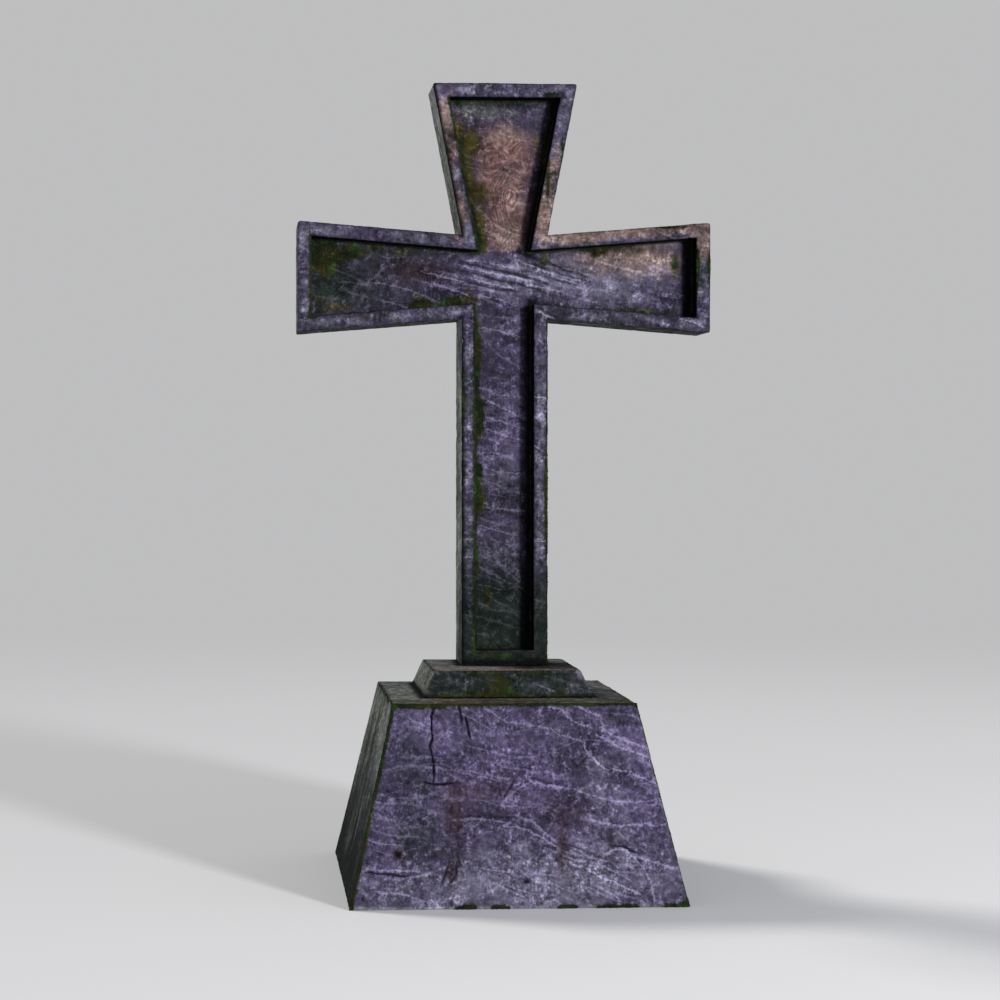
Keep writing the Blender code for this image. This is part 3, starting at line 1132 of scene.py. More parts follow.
def make_plinth():
    low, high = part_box("plinth")
    mesh = block_mesh("plinth", low, high, PLINTH_SPREAD, PLINTH_DIVISIONS, PLINTH_EDGE_WEAR, 0.0)

    def front_at(z):
        return low.y + PLINTH_SPREAD * (z - low.z) / (high.z - low.z)

    drawn = front_lines(sum(PLINTH_GROOVES + PLINTH_VEINS, ()), front_at)
    refine(mesh, distance_to_lines(coordinates(mesh), drawn) < DRAWN_REACH)
    points = coordinates(mesh)
    facing = normals(mesh)
    front = facing[:, 1] < -0.5
    left = facing[:, 0] < -0.5
    top = facing[:, 2] > 0.6
    foot, crown = block_corners(low, high, PLINTH_SPREAD)
    for name, chains in zip(GROOVE_NAMES + VEIN_NAMES, PLINTH_GROOVES + PLINTH_VEINS):
        draw_lines(mesh, points, name, chains, front)
    paint(mesh, "edge", near(points, block_edges(foot, crown), 0.0045))

    def at_foot(x):
        return x, foot[0][1], 0.0

    grown_edges = (
        ((at_foot(-0.110), at_foot(-0.085)), 0.010, 1.0),
        ((at_foot(-0.045), at_foot(-0.025)), 0.010, 1.0),
        ((at_foot(0.070), at_foot(0.095)), 0.009, 0.9),
        ((at_foot(0.140), at_foot(0.205)), 0.010, 0.9),
        ((at_foot(0.260), foot[1]), 0.012, 1.0),
        ((foot[1], crown[1]), 0.0045, 0.7),
        ((foot[0], crown[0]), 0.0075, 1.0),
        ((crown[0], (-0.13, crown[0][1], high.z)), 0.008, 1.0),
        ((crown[0], crown[1]), 0.007, 0.85),
    )
    mossy_edges = overlay(*(near(points, [line], width) * strength for line, width, strength in grown_edges))
    rest = overlay(near(points, joined(foot), 0.012) * 0.5, near(points, joined(crown), 0.008) * 0.45)
    height = (points[:, 2] - low.z) / (high.z - low.z)
    side = left * (0.40 + 0.25 * np.clip(height, 0, 1))
    paint(mesh, "moss", overlay(mossy_edges, np.where(front, 0.0, rest), side * 0.5, np.where(top, 0.2, 0.0)))

    paint(mesh, "blush", front * spots(points, PLINTH_BLUSH) * 0.35)
    strip = top & (points[:, 1] < -0.125)
    paint(mesh, "sand", strip * np.clip(1.05 - np.abs(points[:, 0] + 0.03) / 0.20, 0.0, 0.72))
    paint(mesh, "olive", strip * 0.50)
    paint(mesh, "rust", front * spots(points, PLINTH_RUST))
    paint(mesh, "pale", front * spots(points, PLINTH_PALE))
    foot_line = near(points, [(foot[0], foot[1])], 0.007)
    # The sides and top are paled by weathering, the front only along its foot; the top is painted paler still
    # as painted light, and so are the top's left end and the upper left face, with the chalky tint
    paint(mesh, "weathered", np.where(front, foot_line, 0.62 + 0.20 * top))
    upper_left = left & (points[:, 2] > 0.27)
    paint(mesh, "chalky_and_lit", np.where(top & (points[:, 0] < -0.13), 0.75, upper_left * 0.45))
    paint(mesh, "rained", np.where(front | top, 0.0, 0.85))
    ledge = np.where(top & (points[:, 1] < -0.16), 0.45, top * 0.32)
    corner_line = near(points, [(foot[0], crown[0])], 0.006) * 0.9
    paint(mesh, "damp", overlay(front * spots(points, PLINTH_DAMP), corner_line, ledge))
    step_low, step_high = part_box("step")
    step_foot, _ = block_corners(step_low, step_high, 0.0)
    # The sides are pale above and dark towards the ground
    downward_darkening = np.interp(height, (0.02, 0.12, 0.34, 0.64, 0.94), (0.95, 0.90, 0.70, 0.50, 0.02))
    upright_gaps = 1.0 - 0.40 * patches(points * np.array((1.0, 1.0, 0.12)), 40.0, 3.0)
    sides_darkening = np.where(front | top, 0.0, downward_darkening * upright_gaps * np.where(left, 1.0, 0.65))
    # Painted shade round the foot of the step, where it stands on the plinth
    contact_shade = near(points, joined(step_foot), 0.012) * 0.95
    paint(mesh, "dirt_and_shade", overlay(contact_shade, front * spots(points, PLINTH_PITS), sides_darkening))
    paint(mesh, "streaked", np.full(len(points), 0.15))
    return mesh


STEP_VEINS = (
    (0.8, ((0.060, 0.372), (0.078, 0.365), (0.096, 0.359))),
    (0.5, ((-0.010, 0.388), (0.002, 0.372))),
)
STEP_MOSS = (
    (-0.010, 0.372, 0.022, 0.022, 0.80),
    (-0.045, 0.358, 0.060, 0.006, 0.60),
    (0.095, 0.362, 0.012, 0.008, 0.60),
    (-0.050, 0.392, 0.030, 0.005, 0.60),
    (0.055, 0.393, 0.030, 0.004, 0.50),
)
STEP_PALE = (
    (-0.090, 0.378, 0.028, 0.015, 0.50),
    (0.050, 0.374, 0.045, 0.012, 0.42),
    (0.130, 0.376, 0.022, 0.018, 0.55),
)


def make_step():
    low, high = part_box("step")
    mesh = block_mesh("step", low, high, STEP_SPREAD, STEP_DIVISIONS, STEP_EDGE_WEAR, 4.0)
    points = coordinates(mesh)
    foot, crown = block_corners(low, high, STEP_SPREAD)

    broken = np.array(crown[1]) + np.array((BREAK_REACH, -BREAK_REACH, BREAK_REACH))
    outwards = points - broken
    away = np.linalg.norm(outwards, axis=1)
    radius = BREAK_RADIUS * (1.0 + 0.18 * patches(points, 120.0, 0.0))
    scooped = broken + outwards * (radius / np.maximum(away, 1e-6))[:, None]
    points = np.where((away < radius)[:, None], scooped, points)
    mesh.vertices.foreach_set("co", points.ravel())
    mesh.update()

    facing = normals(mesh)
    front = facing[:, 1] < -0.4
    top = facing[:, 2] > 0.75
    paint(mesh, "edge", near(points, block_edges(foot, crown), 0.004))
    break_glow = np.exp(-((away / (BREAK_RADIUS * 1.25)) ** 4))
    foot_line = near(points, joined(foot), 0.007)
    crown_line = near(points, joined(crown), 0.005)
    growth = front * spots(points, STEP_MOSS)
    paint(mesh, "moss", overlay(growth, foot_line * 0.6, crown_line * 0.5, np.where(top, 0.25, 0.1)))
    lilac = spots(points, STEP_PALE)
    paint(mesh, "pale", overlay(break_glow * 0.9, front * lilac))
    paint(mesh, "rained", np.where(top | front, 0.0, 0.7))
    draw_lines(mesh, points, "vein_a", STEP_VEINS, front)
    paint(mesh, "rust", front * 0.15)
    # The sides weather pale and the broken corner paler; the left-hand face is painted paler still, as
    # painted light
    paint(mesh, "weathered", np.where(front, 0.0, 0.7) + break_glow * 0.5 + (facing[:, 0] < -0.4) * 0.3)
    paint(mesh, "sand", np.where(top & (points[:, 1] < low.y + 0.11), 0.62, 0.0))
    paint(mesh, "damp", front * 0.92 * (1.0 - overlay(break_glow, 0.8 * lilac)))
    cross_low, cross_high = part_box("cross")
    half = SHAFT_WIDTH / 2
    centre = (cross_low.x + cross_high.x) / 2
    shaft_foot = [
        (centre - half, cross_low.y, high.z),
        (centre + half, cross_low.y, high.z),
        (centre + half, cross_high.y, high.z),
        (centre - half, cross_high.y, high.z),
    ]
    # Painted shade: dark where the cross stands on the step, a painted shadow of the cross falling to the
    # right of its foot on the step's top, and a dark line round the step's own foot
    contact_shade = near(points, joined(shaft_foot), 0.013) * 0.95
    rightwards = np.clip((points[:, 0] + 0.02) / 0.06, 0, 1)
    beside = rightwards * np.clip((0.075 - np.abs(points[:, 1] - 0.01)) / 0.02, 0, 1)
    shadow = overlay(near(points, [(shaft_foot[0], shaft_foot[1])], 0.018) * 0.85, top * beside * 0.62)
    paint(mesh, "dirt_and_shade", overlay(contact_shade, shadow, foot_line * 0.95))
    paint(mesh, "streaked", np.full(len(points), 0.2))
    return mesh


# Where things are on the cross, as (x, z, half width, half height, strength)
PANEL_MOSS = (
    (-0.331, 1.176, 0.028, 0.036, 1.00),
    (-0.281, 1.184, 0.026, 0.018, 0.85),
    (-0.232, 1.193, 0.013, 0.010, 0.70),
    (-0.165, 1.190, 0.040, 0.010, 0.50),
    (-0.335, 1.093, 0.025, 0.020, 0.50),
    (-0.147, 1.081, 0.024, 0.014, 0.90),
    (-0.085, 1.088, 0.032, 0.016, 0.70),
    (-0.055, 1.063, 0.015, 0.014, 0.90),
    (-0.033, 0.866, 0.010, 0.045, 0.95),
    (-0.035, 0.768, 0.009, 0.014, 0.90),
    (-0.033, 0.712, 0.012, 0.034, 0.85),
    (-0.037, 0.990, 0.008, 0.055, 0.80),
    (-0.020, 0.526, 0.011, 0.024, 0.65),
    (-0.037, 0.600, 0.008, 0.035, 0.50),
    (0.000, 0.440, 0.060, 0.010, 0.40),
    (-0.072, 1.386, 0.012, 0.034, 0.75),
    (-0.064, 1.320, 0.012, 0.040, 0.70),
    (-0.050, 1.253, 0.012, 0.042, 0.72),
    (-0.039, 1.206, 0.012, 0.030, 0.90),
    (-0.077, 1.470, 0.012, 0.008, 0.80),
    (0.000, 1.464, 0.080, 0.008, 0.40),
    (0.088, 1.385, 0.010, 0.035, 0.65),
    (0.190, 1.184, 0.018, 0.010, 0.60),
    (0.220, 1.190, 0.120, 0.010, 0.45),
    (0.343, 1.165, 0.012, 0.022, 0.60),
    (0.235, 1.070, 0.120, 0.008, 0.55),
    (0.088, 1.165, 0.022, 0.014, 0.60),
)
RIM_MOSS = (
    (-0.230, 1.055, 0.150, 0.012, 0.42),
    (-0.230, 1.222, 0.150, 0.010, 0.25),
    (-0.3315, 1.204, 0.030, 0.006, 0.75),
    (-0.265, 1.201, 0.013, 0.006, 0.55),
    (-0.170, 1.203, 0.040, 0.006, 0.50),
    (-0.170, 1.038, 0.036, 0.006, 0.80),
    (-0.113, 1.043, 0.020, 0.005, 0.70),
    (-0.330, 1.030, 0.040, 0.005, 0.50),
    (0.010, 0.4150, 0.085, 0.009, 0.62),
    (-0.068, 0.900, 0.005, 0.060, 0.60),
    (0.0905, 0.715, 0.005, 0.085, 0.95),
    (-0.106, 1.330, 0.005, 0.060, 0.95),
    (-0.086, 1.240, 0.005, 0.040, 0.70),
    (0.092, 1.320, 0.004, 0.060, 0.85),
    (0.120, 1.350, 0.004, 0.070, 0.80),
    (0.105, 1.260, 0.004, 0.040, 0.75),
    (0.098, 1.478, 0.016, 0.006, 0.90),
    (0.402, 1.155, 0.005, 0.030, 1.00),
    (0.378, 1.150, 0.005, 0.045, 0.95),
    (0.330, 1.230, 0.050, 0.004, 0.80),
    (0.200, 1.200, 0.090, 0.005, 0.50),
)
PANEL_BLUSH = (
    (0.015, 1.376, 0.055, 0.050, 1.00),
    (0.010, 1.300, 0.048, 0.055, 0.85),
    (0.018, 1.225, 0.048, 0.040, 1.00),
    (0.290, 1.178, 0.070, 0.022, 0.60),
    (0.180, 1.165, 0.060, 0.018, 0.45),
)
PANEL_SAND = (
    (0.280, 1.176, 0.080, 0.030, 0.62),
    (0.200, 1.182, 0.060, 0.020, 0.50),
    (0.255, 1.150, 0.090, 0.020, 0.35),
    (0.020, 1.408, 0.045, 0.014, 0.62),
    (0.018, 1.215, 0.040, 0.030, 0.62),
    (0.030, 1.300, 0.030, 0.060, 0.40),
)
RIM_SAND = (
    (0.260, 1.220, 0.100, 0.012, 0.55),
    (0.385, 1.205, 0.018, 0.036, 0.85),
    (0.130, 1.208, 0.060, 0.014, 0.70),
    (-0.101, 1.420, 0.014, 0.050, 0.80),
    (-0.082, 1.260, 0.014, 0.050, 0.70),
    (0.092, 1.270, 0.014, 0.060, 0.72),
    (0.110, 1.360, 0.012, 0.030, 0.45),
)
RIM_BLUSH = (
    (-0.105, 1.436, 0.014, 0.034, 0.85),
    (-0.094, 1.370, 0.014, 0.040, 0.80),
    (-0.080, 1.250, 0.016, 0.050, 0.90),
    (0.102, 1.330, 0.014, 0.030, 0.70),
    (0.086, 1.250, 0.020, 0.045, 1.00),
    (0.140, 1.212, 0.050, 0.012, 1.00),
    (0.230, 1.220, 0.070, 0.010, 0.95),
    (0.340, 1.228, 0.060, 0.010, 0.90),
    (0.390, 1.200, 0.016, 0.040, 0.80),
)
PANEL_PALE = (
    (0.030, 1.130, 0.110, 0.045, 0.55),
    (0.220, 1.130, 0.120, 0.050, 0.70),
    (0.015, 0.780, 0.035, 0.090, 0.30),
    (0.010, 1.440, 0.060, 0.020, 0.30),
    (-0.240, 1.110, 0.050, 0.020, 0.35),
)
CROSS_RUST = (
    (-0.160, 1.148, 0.050, 0.022, 0.80),
    (-0.052, 1.395, 0.034, 0.030, 0.90),
    (0.020, 1.345, 0.030, 0.020, 0.45),
    (0.000, 0.520, 0.014, 0.016, 0.75),
    (-0.055, 1.108, 0.014, 0.012, 0.80),
    (0.060, 1.300, 0.012, 0.030, 0.45),
)
CROSS_DAMP = (
    (0.005, 0.470, 0.090, 0.110, 1.00),
    (-0.300, 1.130, 0.090, 0.070, 0.60),
    (-0.335, 1.095, 0.050, 0.030, 0.65),
    (-0.120, 1.085, 0.090, 0.020, 0.55),
    (-0.330, 1.170, 0.050, 0.050, 0.50),
    (0.010, 1.468, 0.100, 0.010, 0.55),
    (0.200, 1.192, 0.140, 0.008, 0.45),
    (-0.180, 1.187, 0.140, 0.014, 0.55),
    (0.230, 1.072, 0.120, 0.010, 0.50),
)
OLIVE = (
    (-0.080, 1.400, 0.022, 0.050, 0.75),
    (-0.066, 1.310, 0.020, 0.045, 0.70),
    (-0.3256, 1.165, 0.018, 0.028, 0.95),
    (-0.268, 1.182, 0.018, 0.010, 0.85),
    (-0.245, 1.197, 0.012, 0.008, 0.80),
    (-0.182, 1.183, 0.020, 0.010, 0.55),
    (-0.147, 1.089, 0.018, 0.012, 0.85),
    (-0.061, 1.093, 0.030, 0.010, 0.65),
    (-0.310, 1.080, 0.030, 0.012, 0.55),
    (-0.036, 0.995, 0.006, 0.040, 0.90),
    (-0.034, 0.876, 0.008, 0.036, 1.00),
    (-0.036, 0.720, 0.008, 0.030, 0.60),
    (-0.019, 0.526, 0.008, 0.022, 0.75),
    (0.036, 0.658, 0.005, 0.008, 0.70),
    (-0.052, 1.390, 0.018, 0.022, 0.95),
    (-0.059, 1.338, 0.012, 0.030, 0.85),
    (-0.042, 1.297, 0.028, 0.022, 0.90),
    (-0.033, 1.240, 0.010, 0.030, 0.95),
    (-0.029, 1.202, 0.010, 0.020, 0.95),
    (0.073, 1.391, 0.008, 0.018, 0.80),
    (0.192, 1.180, 0.014, 0.008, 0.80),
    (0.264, 1.187, 0.060, 0.012, 0.45),
    (0.343, 1.159, 0.010, 0.030, 0.70),
    (0.092, 1.172, 0.016, 0.012, 0.65),
    (0.270, 1.074, 0.080, 0.008, 0.45),
)
PANEL_WEATHERED = (
    (-0.050, 1.455, 0.045, 0.020, 0.50),
    (0.020, 1.450, 0.050, 0.020, 0.35),
)
SWIRLED = (
    (0.010, 1.270, 0.060, 0.090, 1.0),
    (0.010, 1.390, 0.060, 0.050, 0.9),
    (0.250, 1.150, 0.100, 0.040, 0.5),
    (-0.250, 1.120, 0.080, 0.040, 0.45),
)
PANEL_VEINS = (
    (
        (0.8, ((-0.029, 1.040), (0.005, 1.034), (0.021, 1.030), (0.042, 1.025))),
        (0.9, ((-0.019, 0.902), (0.009, 0.887), (0.025, 0.880), (0.048, 0.868))),
        (0.8, ((-0.014, 0.845), (0.000, 0.839), (0.042, 0.828))),
        (0.7, ((-0.019, 0.774), (-0.008, 0.767), (0.011, 0.765), (0.040, 0.761))),
        (0.6, ((-0.025, 0.660), (-0.010, 0.656), (0.031, 0.646))),
        (0.5, ((-0.044, 0.593), (-0.029, 0.581), (-0.004, 0.568), (0.025, 0.553), (0.050, 0.539))),
        (0.4, ((-0.044, 0.490), (-0.032, 0.488), (-0.007, 0.480), (0.016, 0.474), (0.056, 0.461))),
        (0.6, ((-0.033, 1.101), (-0.004, 1.097), (0.015, 1.090), (0.044, 1.080))),
        (0.6, ((-0.224, 1.125), (-0.176, 1.115), (-0.148, 1.104), (-0.119, 1.091), (-0.090, 1.081))),
        (0.4, ((-0.291, 1.126), (-0.258, 1.123), (-0.228, 1.125))),
        (0.5, ((-0.342, 1.098), (-0.310, 1.094))),
        (0.9, ((-0.138, 1.146), (-0.110, 1.139), (-0.071, 1.129))),
        (0.8, ((-0.052, 1.169), (-0.014, 1.164), (0.025, 1.156))),
        (0.8, ((0.044, 1.168), (0.082, 1.153), (0.111, 1.140), (0.144, 1.128))),
        (0.7, ((-0.052, 1.135), (-0.014, 1.124), (0.025, 1.118))),
        (0.5, ((0.198, 1.167), (0.227, 1.159))),
    ),
    (
        (0.6, ((-0.033, 0.925), (-0.014, 0.920), (0.000, 0.912), (0.040, 0.908))),
        (0.7, ((-0.015, 0.868), (0.006, 0.862), (0.048, 0.849))),
        (0.6, ((-0.040, 0.801), (0.000, 0.801), (0.013, 0.796))),
        (0.6, ((-0.017, 0.696), (0.015, 0.694), (0.046, 0.690))),
        (0.4, ((-0.042, 0.635), (-0.021, 0.627), (-0.008, 0.612), (0.000, 0.593), (0.016, 0.577),
               (0.048, 0.553))),
        (0.5, ((-0.002, 0.633), (0.029, 0.625))),
        (0.6, ((-0.215, 1.091), (-0.192, 1.085), (-0.163, 1.074))),
        (0.8, ((-0.132, 1.125), (-0.100, 1.118), (-0.062, 1.104))),
        (0.4, ((-0.281, 1.107), (-0.258, 1.100))),
        (0.4, ((-0.243, 1.130), (-0.215, 1.153))),
        (0.9, ((-0.067, 1.158), (-0.033, 1.150), (0.015, 1.139), (0.063, 1.132))),
        (0.8, ((0.098, 1.153), (0.121, 1.141), (0.159, 1.132))),
        (0.7, ((0.063, 1.122), (0.098, 1.115), (0.121, 1.109))),
        (0.5, ((0.246, 1.154), (0.275, 1.148))),
    ),
)
RIM_VEINS = (
    (0.8, ((-0.069, 0.929), (-0.056, 0.937))),
    (1.0, ((0.069, 0.907), (0.085, 0.905))),
    (1.0, ((0.068, 0.867), (0.083, 0.877))),
    (0.8, ((0.070, 0.812), (0.083, 0.805))),
    (0.9, ((-0.069, 0.850), (-0.056, 0.852))),
    (0.9, ((-0.069, 0.636), (-0.056, 0.638))),
    (0.9, ((-0.069, 0.602), (-0.056, 0.604))),
    (1.0, ((0.077, 1.068), (0.096, 1.058))),
    (0.8, ((0.360, 1.052), (0.383, 1.044))),
    (0.9, ((0.066, 0.634), (0.083, 0.634))),
    (0.7, ((0.070, 0.522), (0.083, 0.518))),
    (0.6, ((-0.067, 0.494), (-0.056, 0.492))),
)
CROSSING_GROOVES = (
    (
        (0.70, ((-0.067, 1.165), (-0.033, 1.158), (0.005, 1.149), (0.044, 1.141), (0.092, 1.126))),
        (0.65, ((-0.067, 1.131), (-0.041, 1.124), (-0.010, 1.116), (0.028, 1.112))),
        (0.50, ((-0.110, 1.154), (-0.087, 1.146))),
        (0.65, ((0.105, 1.162), (0.136, 1.149), (0.169, 1.140))),
        (0.50, ((0.044, 1.183), (0.073, 1.174))),
        (0.45, ((0.159, 1.166), (0.188, 1.159))),
    ),
    (
        (0.65, ((-0.066, 1.148), (-0.033, 1.141), (0.005, 1.130), (0.044, 1.124), (0.082, 1.111))),
        (0.70, ((0.053, 1.166), (0.092, 1.155), (0.121, 1.143), (0.150, 1.136))),
        (0.50, ((0.092, 1.139), (0.121, 1.130), (0.144, 1.124))),
    ),
)
STREAKED = (
    (0.020, 1.130, 0.110, 0.045, 1.0),
    (0.160, 1.140, 0.080, 0.035, 0.9),
    (-0.060, 1.140, 0.050, 0.035, 0.8),
)


def make_cross():
    low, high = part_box("cross")
    mesh = cross_mesh(low, high)
    points = coordinates(mesh)
    facing = normals(mesh)
    outline = cross_outline(low, high)
    mitre = mitres(outline)

    def ring(inset, back):
        corners = [corner + move * inset for corner, move in zip(outline, mitre)]
        return [(x, low.y + back, z) for x, z in corners]

    front_ring = ring(0.0, 0.0)
    back_ring = ring(0.0, high.y - low.y)
    front_edges = joined(front_ring)
    lip_edges = joined(ring(RIM_WIDTH, 0.0))
    panel_edges = joined(ring(RIM_WIDTH, PANEL_DEPTH))
    depth = points[:, 1] - low.y
    rim = (depth < 0.004) & (facing[:, 1] < -0.3)
    sunk = np.abs(points[:, 1] - (low.y + PANEL_DEPTH)) < 0.0008
    panel = sunk & (facing[:, 1] < -0.5) & ~rim
    flattened = np.column_stack((points[:, 0], np.full(len(points), low.y), points[:, 2]))
    on_lip = distance_to_lines(flattened, lip_edges) < 0.003
    wall = ~rim & ~panel & (depth < PANEL_DEPTH) & on_lip
    side = ~rim & ~panel & ~wall
    side_left = side & (facing[:, 0] < -0.5)
    side_above = side & (facing[:, 2] > 0.5)
    side_below = side & (facing[:, 2] < -0.5)

    sharp = front_edges + joined(back_ring) + lip_edges + list(zip(front_ring, back_ring))
    paint(mesh, "edge", near(points, sharp, 0.0028))
    for name, chains in zip(GROOVE_NAMES, CROSSING_GROOVES):
        draw_lines(mesh, points, name, chains, panel)
    foot_fade = np.clip((low.z + 0.22 - points[:, 2]) / 0.14, 0, 1)
    front_foot = foot_fade * np.clip((0.090 - depth) / 0.060, 0, 1)
    draw_lines(mesh, points, "vein_a", PANEL_VEINS[0] + RIM_VEINS, (panel | rim) * (1.0 - 0.45 * foot_fade))
    draw_lines(mesh, points, "vein_b", PANEL_VEINS[1], panel * (1.0 - 0.6 * foot_fade))
    left_lips = [lip_edges[index] for index in (0, 2, 4)]
    right_walls = [panel_edges[index] for index in (6, 8, 10)]
    creases = near(points, panel_edges, 0.0035)
    shaft_left = near(points, [panel_edges[0]], 0.008) * (points[:, 2] < 1.06)
    shaft_side = side_left & (points[:, 2] < low.z + ARM_AXIS_HEIGHT)
    moss = overlay(
        panel * spots(points, PANEL_MOSS),
        rim * spots(points, RIM_MOSS),
        np.where(panel | wall, creases * 0.55, 0.0),
        (panel | wall) * shaft_left * 0.85,
        rim * near(points, left_lips, 0.0060) * 0.85,
        rim * near(points, [front_edges[10]], 0.0045) * 0.70,
        side * near(points, front_edges, 0.008) * 0.55 * ~shaft_side,
        side_below * 0.35,
        side * (points[:, 2] < low.z + 0.06) * 0.4,
    )
    paint(mesh, "moss", moss)
    # The blush of the upper arm ends sharply where the crossing begins
    in_upper_arm = np.clip((points[:, 2] - 1.181) / 0.006, 0.0, 1.0)
    blushing = np.where(np.abs(points[:, 0] - 0.01) < 0.075, in_upper_arm, 1.0)
    for tint, on_panel, on_rim in (("blush", PANEL_BLUSH, RIM_BLUSH), ("sand", PANEL_SAND, RIM_SAND)):
        paint(mesh, tint, overlay(panel * blushing * spots(points, on_panel), rim * spots(points, on_rim)))
    rim_middle = 1.0 - near(points, front_edges + lip_edges, 0.006)
    rim_glow = rim * rim_middle * (0.47 + 0.75 * patches(points, 30.0, 0.0))
    paint(mesh, "pale", overlay(panel * spots(points, PANEL_PALE), rim_glow))
    paint(mesh, "olive", panel * spots(points, OLIVE))
    paint(mesh, "swirled", panel * spots(points, SWIRLED))
    paint(mesh, "smooth", foot_fade)
    # The left-hand sides get the chalky tint, as painted light on the faces the light falls on
    paint(mesh, "chalky_and_lit", side_left * 0.42)
    paint(mesh, "rained", side * 0.45)
    paint(mesh, "rust", (panel | rim) * spots(points, CROSS_RUST))
    paint(
        mesh,
        "damp",
        overlay(
            panel * spots(points, CROSS_DAMP),
            side_below * 0.9,
            front_foot * 0.95,
            # The walls of the sunk panel are darkened with the damp tint: damp, and painted shade in the
            # recess
            wall * 0.6,
            rim * (0.28 + 0.60 * patches(points, 24.0, 5.0)),
        ),
    )
    # The sides are paled by weathering; the upper and left-hand sides are painted paler still, as painted
    # light
    bleached_and_lit = side * 0.55 + side_above * 0.3 + side_left * 0.4
    paint(mesh, "weathered", panel * spots(points, PANEL_WEATHERED) + bleached_and_lit)
    # Painted shadow: the right-hand walls of the sunk panel cast shade on the panel floor beside them
    shadowed = near(points, right_walls, 0.016)
    left_edges = [front_edges[index] for index in (0, 4)]
    rim_edges = near(points, front_edges + lip_edges, 0.0036)
    # Painted shade, kept with the dirt: the shadowed band, the creases, the walls facing down and left, the
    # rim's foot where it stands on the step, and a wider painted shadow in the right arm. The rim's edges,
    # its left outer edges and the shaft's foot are darkened as well.
    dirt_and_shade = overlay(
        (panel | wall) * shadowed * 0.95,
        (panel | wall) * creases * 0.80,
        wall * (facing[:, 2] < -0.4) * 0.9,
        wall * (facing[:, 0] < -0.4) * 0.9,
        rim * rim_edges * 0.60,
        rim * near(points, left_edges, 0.0085) * 0.85,
        rim * near(points, [front_edges[11]], 0.012) * 0.85,
        panel * near(points, [panel_edges[8]], 0.024) * 0.90,
        front_foot * 0.20,
    )
    paint(mesh, "dirt_and_shade", dirt_and_shade)
    paint(mesh, "streaked", panel * spots(points, STREAKED))
    return mesh


def finished_piece(name, mesh):
    """A mesh, shaded smooth, as a piece of the scene that moves with the marker; it keeps the finish its tree
    gave it.
    """
    mesh.shade_smooth()
    piece = new_object(name, mesh)
    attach(piece, "root")
    return piece


def finished_stone(name, mesh, reliefs):
    """One stone, worn and weathered, in the place of its solid, and the moss that grows on it."""
    groups = bpy.data.node_groups
    shared = {"Lowest": cad_low, "Highest": cad_high}
    stone_values = {**shared, "Material": bpy.data.materials[name + " stone"], **reliefs}
    stone = grown("weathered_" + name, mesh, groups["Weathering"], stone_values)
    tuft_values = {**shared, "Material": bpy.data.materials["moss"]}
    tufts = grown("moss_on_" + name, stone, groups["Moss tufts"], tuft_values)
    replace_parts(finished_piece("weathered_" + name, stone), name)
    finished_piece("moss_on_" + name, tufts)


# Floor, light and camera
PALE_FLOOR = (0.775, 0.775, 0.775, 1.0)
FLOOR_RADIUS = 40.0
BACKDROP = (0.517, 0.518, 0.525, 1.0)
BACKDROP_FROM = 2.5
BACKDROP_TO = 7.0
SKY_COLOUR = (0.82, 0.84, 0.90, 1.0)
SKY_STRENGTH = 0.38
LIT_POINT = (0.0, 0.0, 0.75)
DISK_PLACE = (4.2, -7.2, 1.5)
DISK_SIZE = 1.1
DISK_POWER = 910.0
SUN_PLACE = (-2.6, 2.0, 3.4)
SUN_WIDTH = math.radians(14.0)
SUN_STRENGTH = 1.78


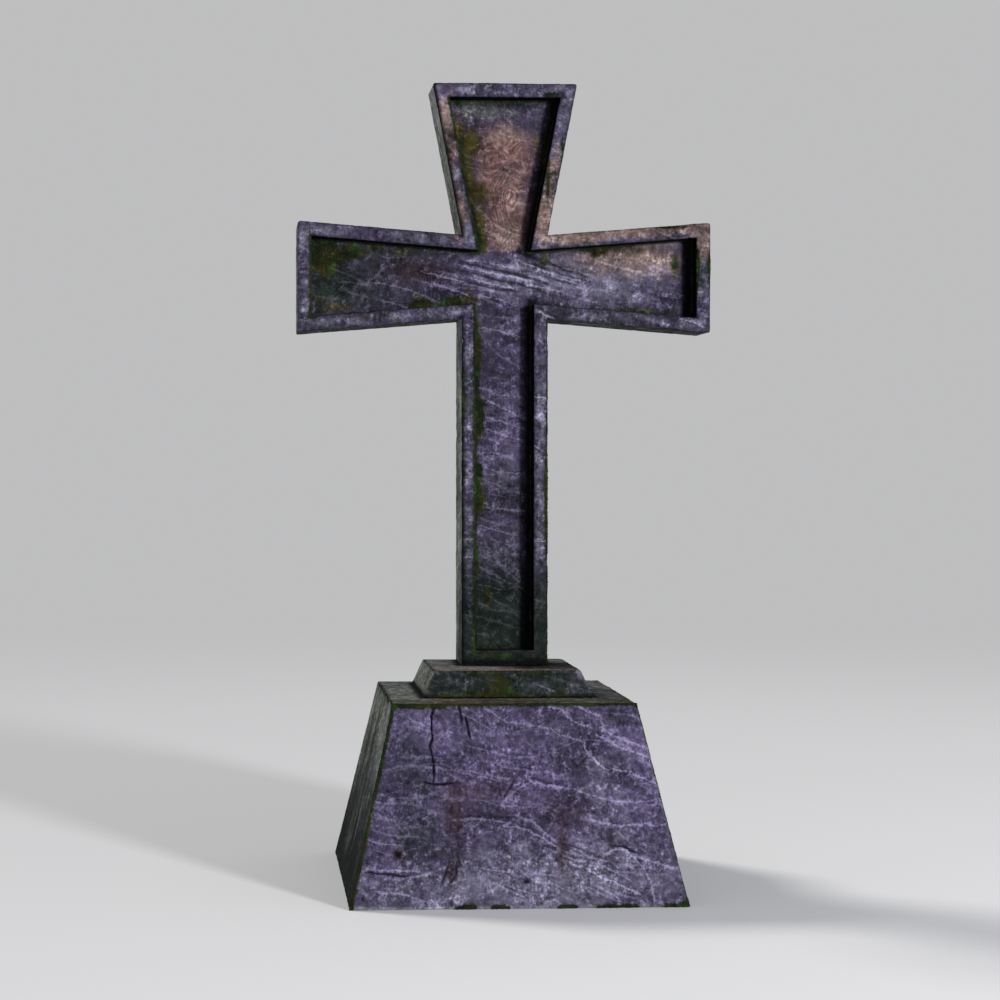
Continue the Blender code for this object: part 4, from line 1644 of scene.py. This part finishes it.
def make_stage():
    bpy.ops.mesh.primitive_circle_add(vertices=96, radius=FLOOR_RADIUS, fill_type="NGON")
    floor = bpy.context.object
    floor.name = "studio_floor"
    material, net, shader, place = new_material("pale floor", 0.9, 0.0)
    shader.inputs["Emission Strength"].default_value = 1.0
    # Far off, the floor turns into the backdrop, so that no view shows a horizon
    far = net.step(net.vector("LENGTH", place), BACKDROP_FROM, BACKDROP_TO)
    net.feed(shader.inputs["Base Color"], net.mix(far, PALE_FLOOR, BLACK))
    net.feed(shader.inputs["Emission Color"], net.mix(far, BLACK, BACKDROP))
    floor.data.materials.append(material)

    world = bpy.data.worlds.new("studio")
    bpy.context.scene.world = world
    world.use_nodes = True
    net = Net(world.node_tree)
    # The lens sees a backdrop as pale as the floor, while the stone is lit by a dimmer sky
    sky = net.tree.nodes["Background"]
    sky.inputs["Color"].default_value = SKY_COLOUR
    sky.inputs["Strength"].default_value = SKY_STRENGTH
    backdrop = net.node("ShaderNodeBackground", {"Color": BACKDROP, "Strength": 1.0})
    seen = net.node("ShaderNodeLightPath").outputs["Is Camera Ray"]
    both = net.node("ShaderNodeMixShader", {0: seen, 1: sky.outputs[0], 2: backdrop.outputs[0]})
    net.feed(net.tree.nodes["World Output"].inputs["Surface"], both.outputs[0])


def aimed(name, data, place, target):
    light = new_object(name, data)
    light.location = place
    light.rotation_euler = (Vector(target) - Vector(place)).to_track_quat("-Z", "Y").to_euler()


def make_lights():
    front = bpy.data.lights.new("front right", "AREA")
    front.shape = "DISK"
    front.size = DISK_SIZE
    front.energy = DISK_POWER
    front.color = (0.97, 0.97, 1.0)
    aimed("front right", front, DISK_PLACE, LIT_POINT)
    high = bpy.data.lights.new("high back left", "SUN")
    high.angle = SUN_WIDTH
    high.energy = SUN_STRENGTH
    high.color = (1.0, 0.98, 0.94)
    aimed("high back left", high, SUN_PLACE, LIT_POINT)


def make_camera():
    data = bpy.data.cameras.new("camera")
    data.sensor_width = 36.0
    data.lens = CAMERA_LENS
    data.shift_x = CAMERA_SHIFT
    camera = new_object("camera", data)
    camera.location = CAMERA_PLACE
    camera.rotation_euler = (math.pi / 2 - CAMERA_PITCH, 0.0, -CAMERA_YAW)
    bpy.context.scene.camera = camera


def main():
    bpy.context.scene.view_settings.view_transform = "Standard"
    make_materials()
    weathering_tree()
    tuft_tree()
    finished_stone("plinth", make_plinth(), {})
    finished_stone("step", make_step(), {"Layers": 0.0004})
    finished_stone("cross", make_cross(), {"Swell": 0.0008, "Layers": 0.0005})
    make_stage()
    make_lights()
    make_camera()


main()
